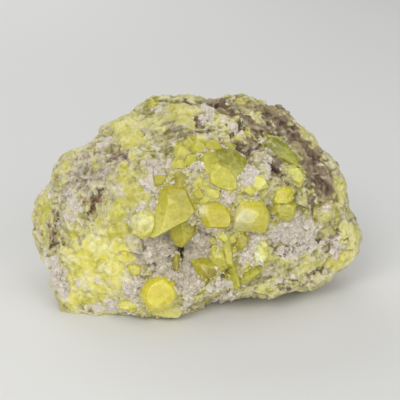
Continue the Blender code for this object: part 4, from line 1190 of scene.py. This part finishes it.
# Each kind of grain: name, template, surface, count, sizes in mm, how far out, tilt, seed, slot, material.
grains = (
    ("lemonBlocks", block, onRock, 900, (0.8, 2.4), -0.4, 0.4, 3, "rock", stainedAndShaded),
    ("rockCrumbs", crumb, onRock, 5000, (0.4, 1.5), -0.26, 0.6, 6, "rock", stainedAndShaded),
    ("sparGrains", rhomb, onRock, 2800, (0.6, 1.9), -0.2, 0.6, 4, "spar", white),
    ("sparTeeth", tooth, onRock, 3200, (0.7, 2.2), 0.0, 0.5, 5, "spar", white),
    ("collarCrumbs", crumb, onRock, 900, (0.6, 2.0), 0.02, 0.6, 16, "rock", stainedAndShaded),
    ("collarTeeth", tooth, onRock, 1100, (0.7, 2.1), 0.1, 0.6, 17, "spar", white),
    ("dustSulfur", crumb, onCrystals, 800, (0.5, 1.6), -0.15, 0.5, 18, "sulfur", gems),
    ("dustSpar", rhomb, onCrystals, 700, (0.4, 1.5), -0.05, 0.6, 19, "spar", white),
    ("smallSulfur", gem, onRock, 44, (0.7, 1.9), -0.3, 0.5, 13, "sulfur", gems),
    ("druseGrains", rhomb, onDruse, 2800, (0.4, 1.6), -0.1, 0.6, 8, "spar", dusty),
    ("druseTeeth", tooth, onDruse, 3600, (0.5, 2.0), 0.1, 0.6, 9, "spar", dusty),
)
for name, *settings, slot, material in grains:
    finish(strew(name, *settings), material)
finish(placeGems("groupSulfur", gem, rock, 21), gemFinish("groupSulfur"))
for template in (block, gem, tooth, rhomb, crumb):
    bpy.data.objects.remove(template)
print("grains and small crystals placed")

stageSetup = dict(
    floor=(224, 223, 220), floorSize=3.0, floorDrop=0.00002, world=(0.75, 0.77, 0.8), worldStrength=0.38,
    lightAim=(0, 0, 0.03),
)
# Each light's place and size in metres, and its power.
lights = dict(
    keyLight=((-0.34, -0.72, 0.62), 0.5, 4.6),
    fillLight=((0.6, -0.75, 0.5), 0.7, 2.6),
    lowLight=((0.0, -1.0, 0.42), 0.6, 2.2),
    backLight=((-0.3, 0.75, 0.55), 0.6, 2.6),
    topLight=((0.05, 0.1, 0.8), 0.5, 0.8),
)
cameraSetup = dict(aside=0.986, above=1.64, distance=365.0, lens=100.0, sensor=36.0)  # in millimetres


def stageFloor():
    place = (0, 0, -stageSetup["floorDrop"])
    floor = startPiece("floor", bpy.ops.mesh.primitive_plane_add, size=stageSetup["floorSize"], location=place)
    look = Finish("paleFloor")
    dull = {"Specular IOR Level": 0.1}
    floor.data.materials.append(look.surface(linear(*stageSetup["floor"]), 0.9, others=dull))


def stageLight(name, place, size, power):  # a soft light that shines on the rock
    data = bpy.data.lights.new(name, "AREA")
    data.size, data.energy = size, power
    lamp = startMesh(name, data)
    lamp.location = place
    lamp.rotation_mode = "QUATERNION"
    lamp.rotation_quaternion = (Vector(stageSetup["lightAim"]) - lamp.location).to_track_quat("-Z", "Y")


def stageWorld():
    world = bpy.data.worlds.new("paleRoom")
    world.use_nodes = True
    background = world.node_tree.nodes["Background"].inputs
    background["Color"].default_value = (*stageSetup["world"], 1)
    background["Strength"].default_value = stageSetup["worldStrength"]
    bpy.context.scene.world = world
    bpy.context.scene.view_settings.view_transform = "Standard"


def stageCamera():  # straight in front of the crystal face
    data = bpy.data.cameras.new("camera")
    data.lens, data.sensor_width, data.clip_start = cameraSetup["lens"], cameraSetup["sensor"], 0.01
    camera = startMesh("camera", data)
    aim = Vector(faceSetup["middle"]) + faceRight * cameraSetup["aside"] + faceUp * cameraSetup["above"]
    camera.location = (aim + faceOut * cameraSetup["distance"]) * mm
    camera.rotation_mode = "QUATERNION"
    camera.rotation_quaternion = (-faceOut).to_track_quat("-Z", "Y")
    bpy.context.scene.camera = camera


stageFloor()
for name, settings in lights.items():
    stageLight(name, *settings)
stageWorld()
stageCamera()
print("floor, lights and camera placed")
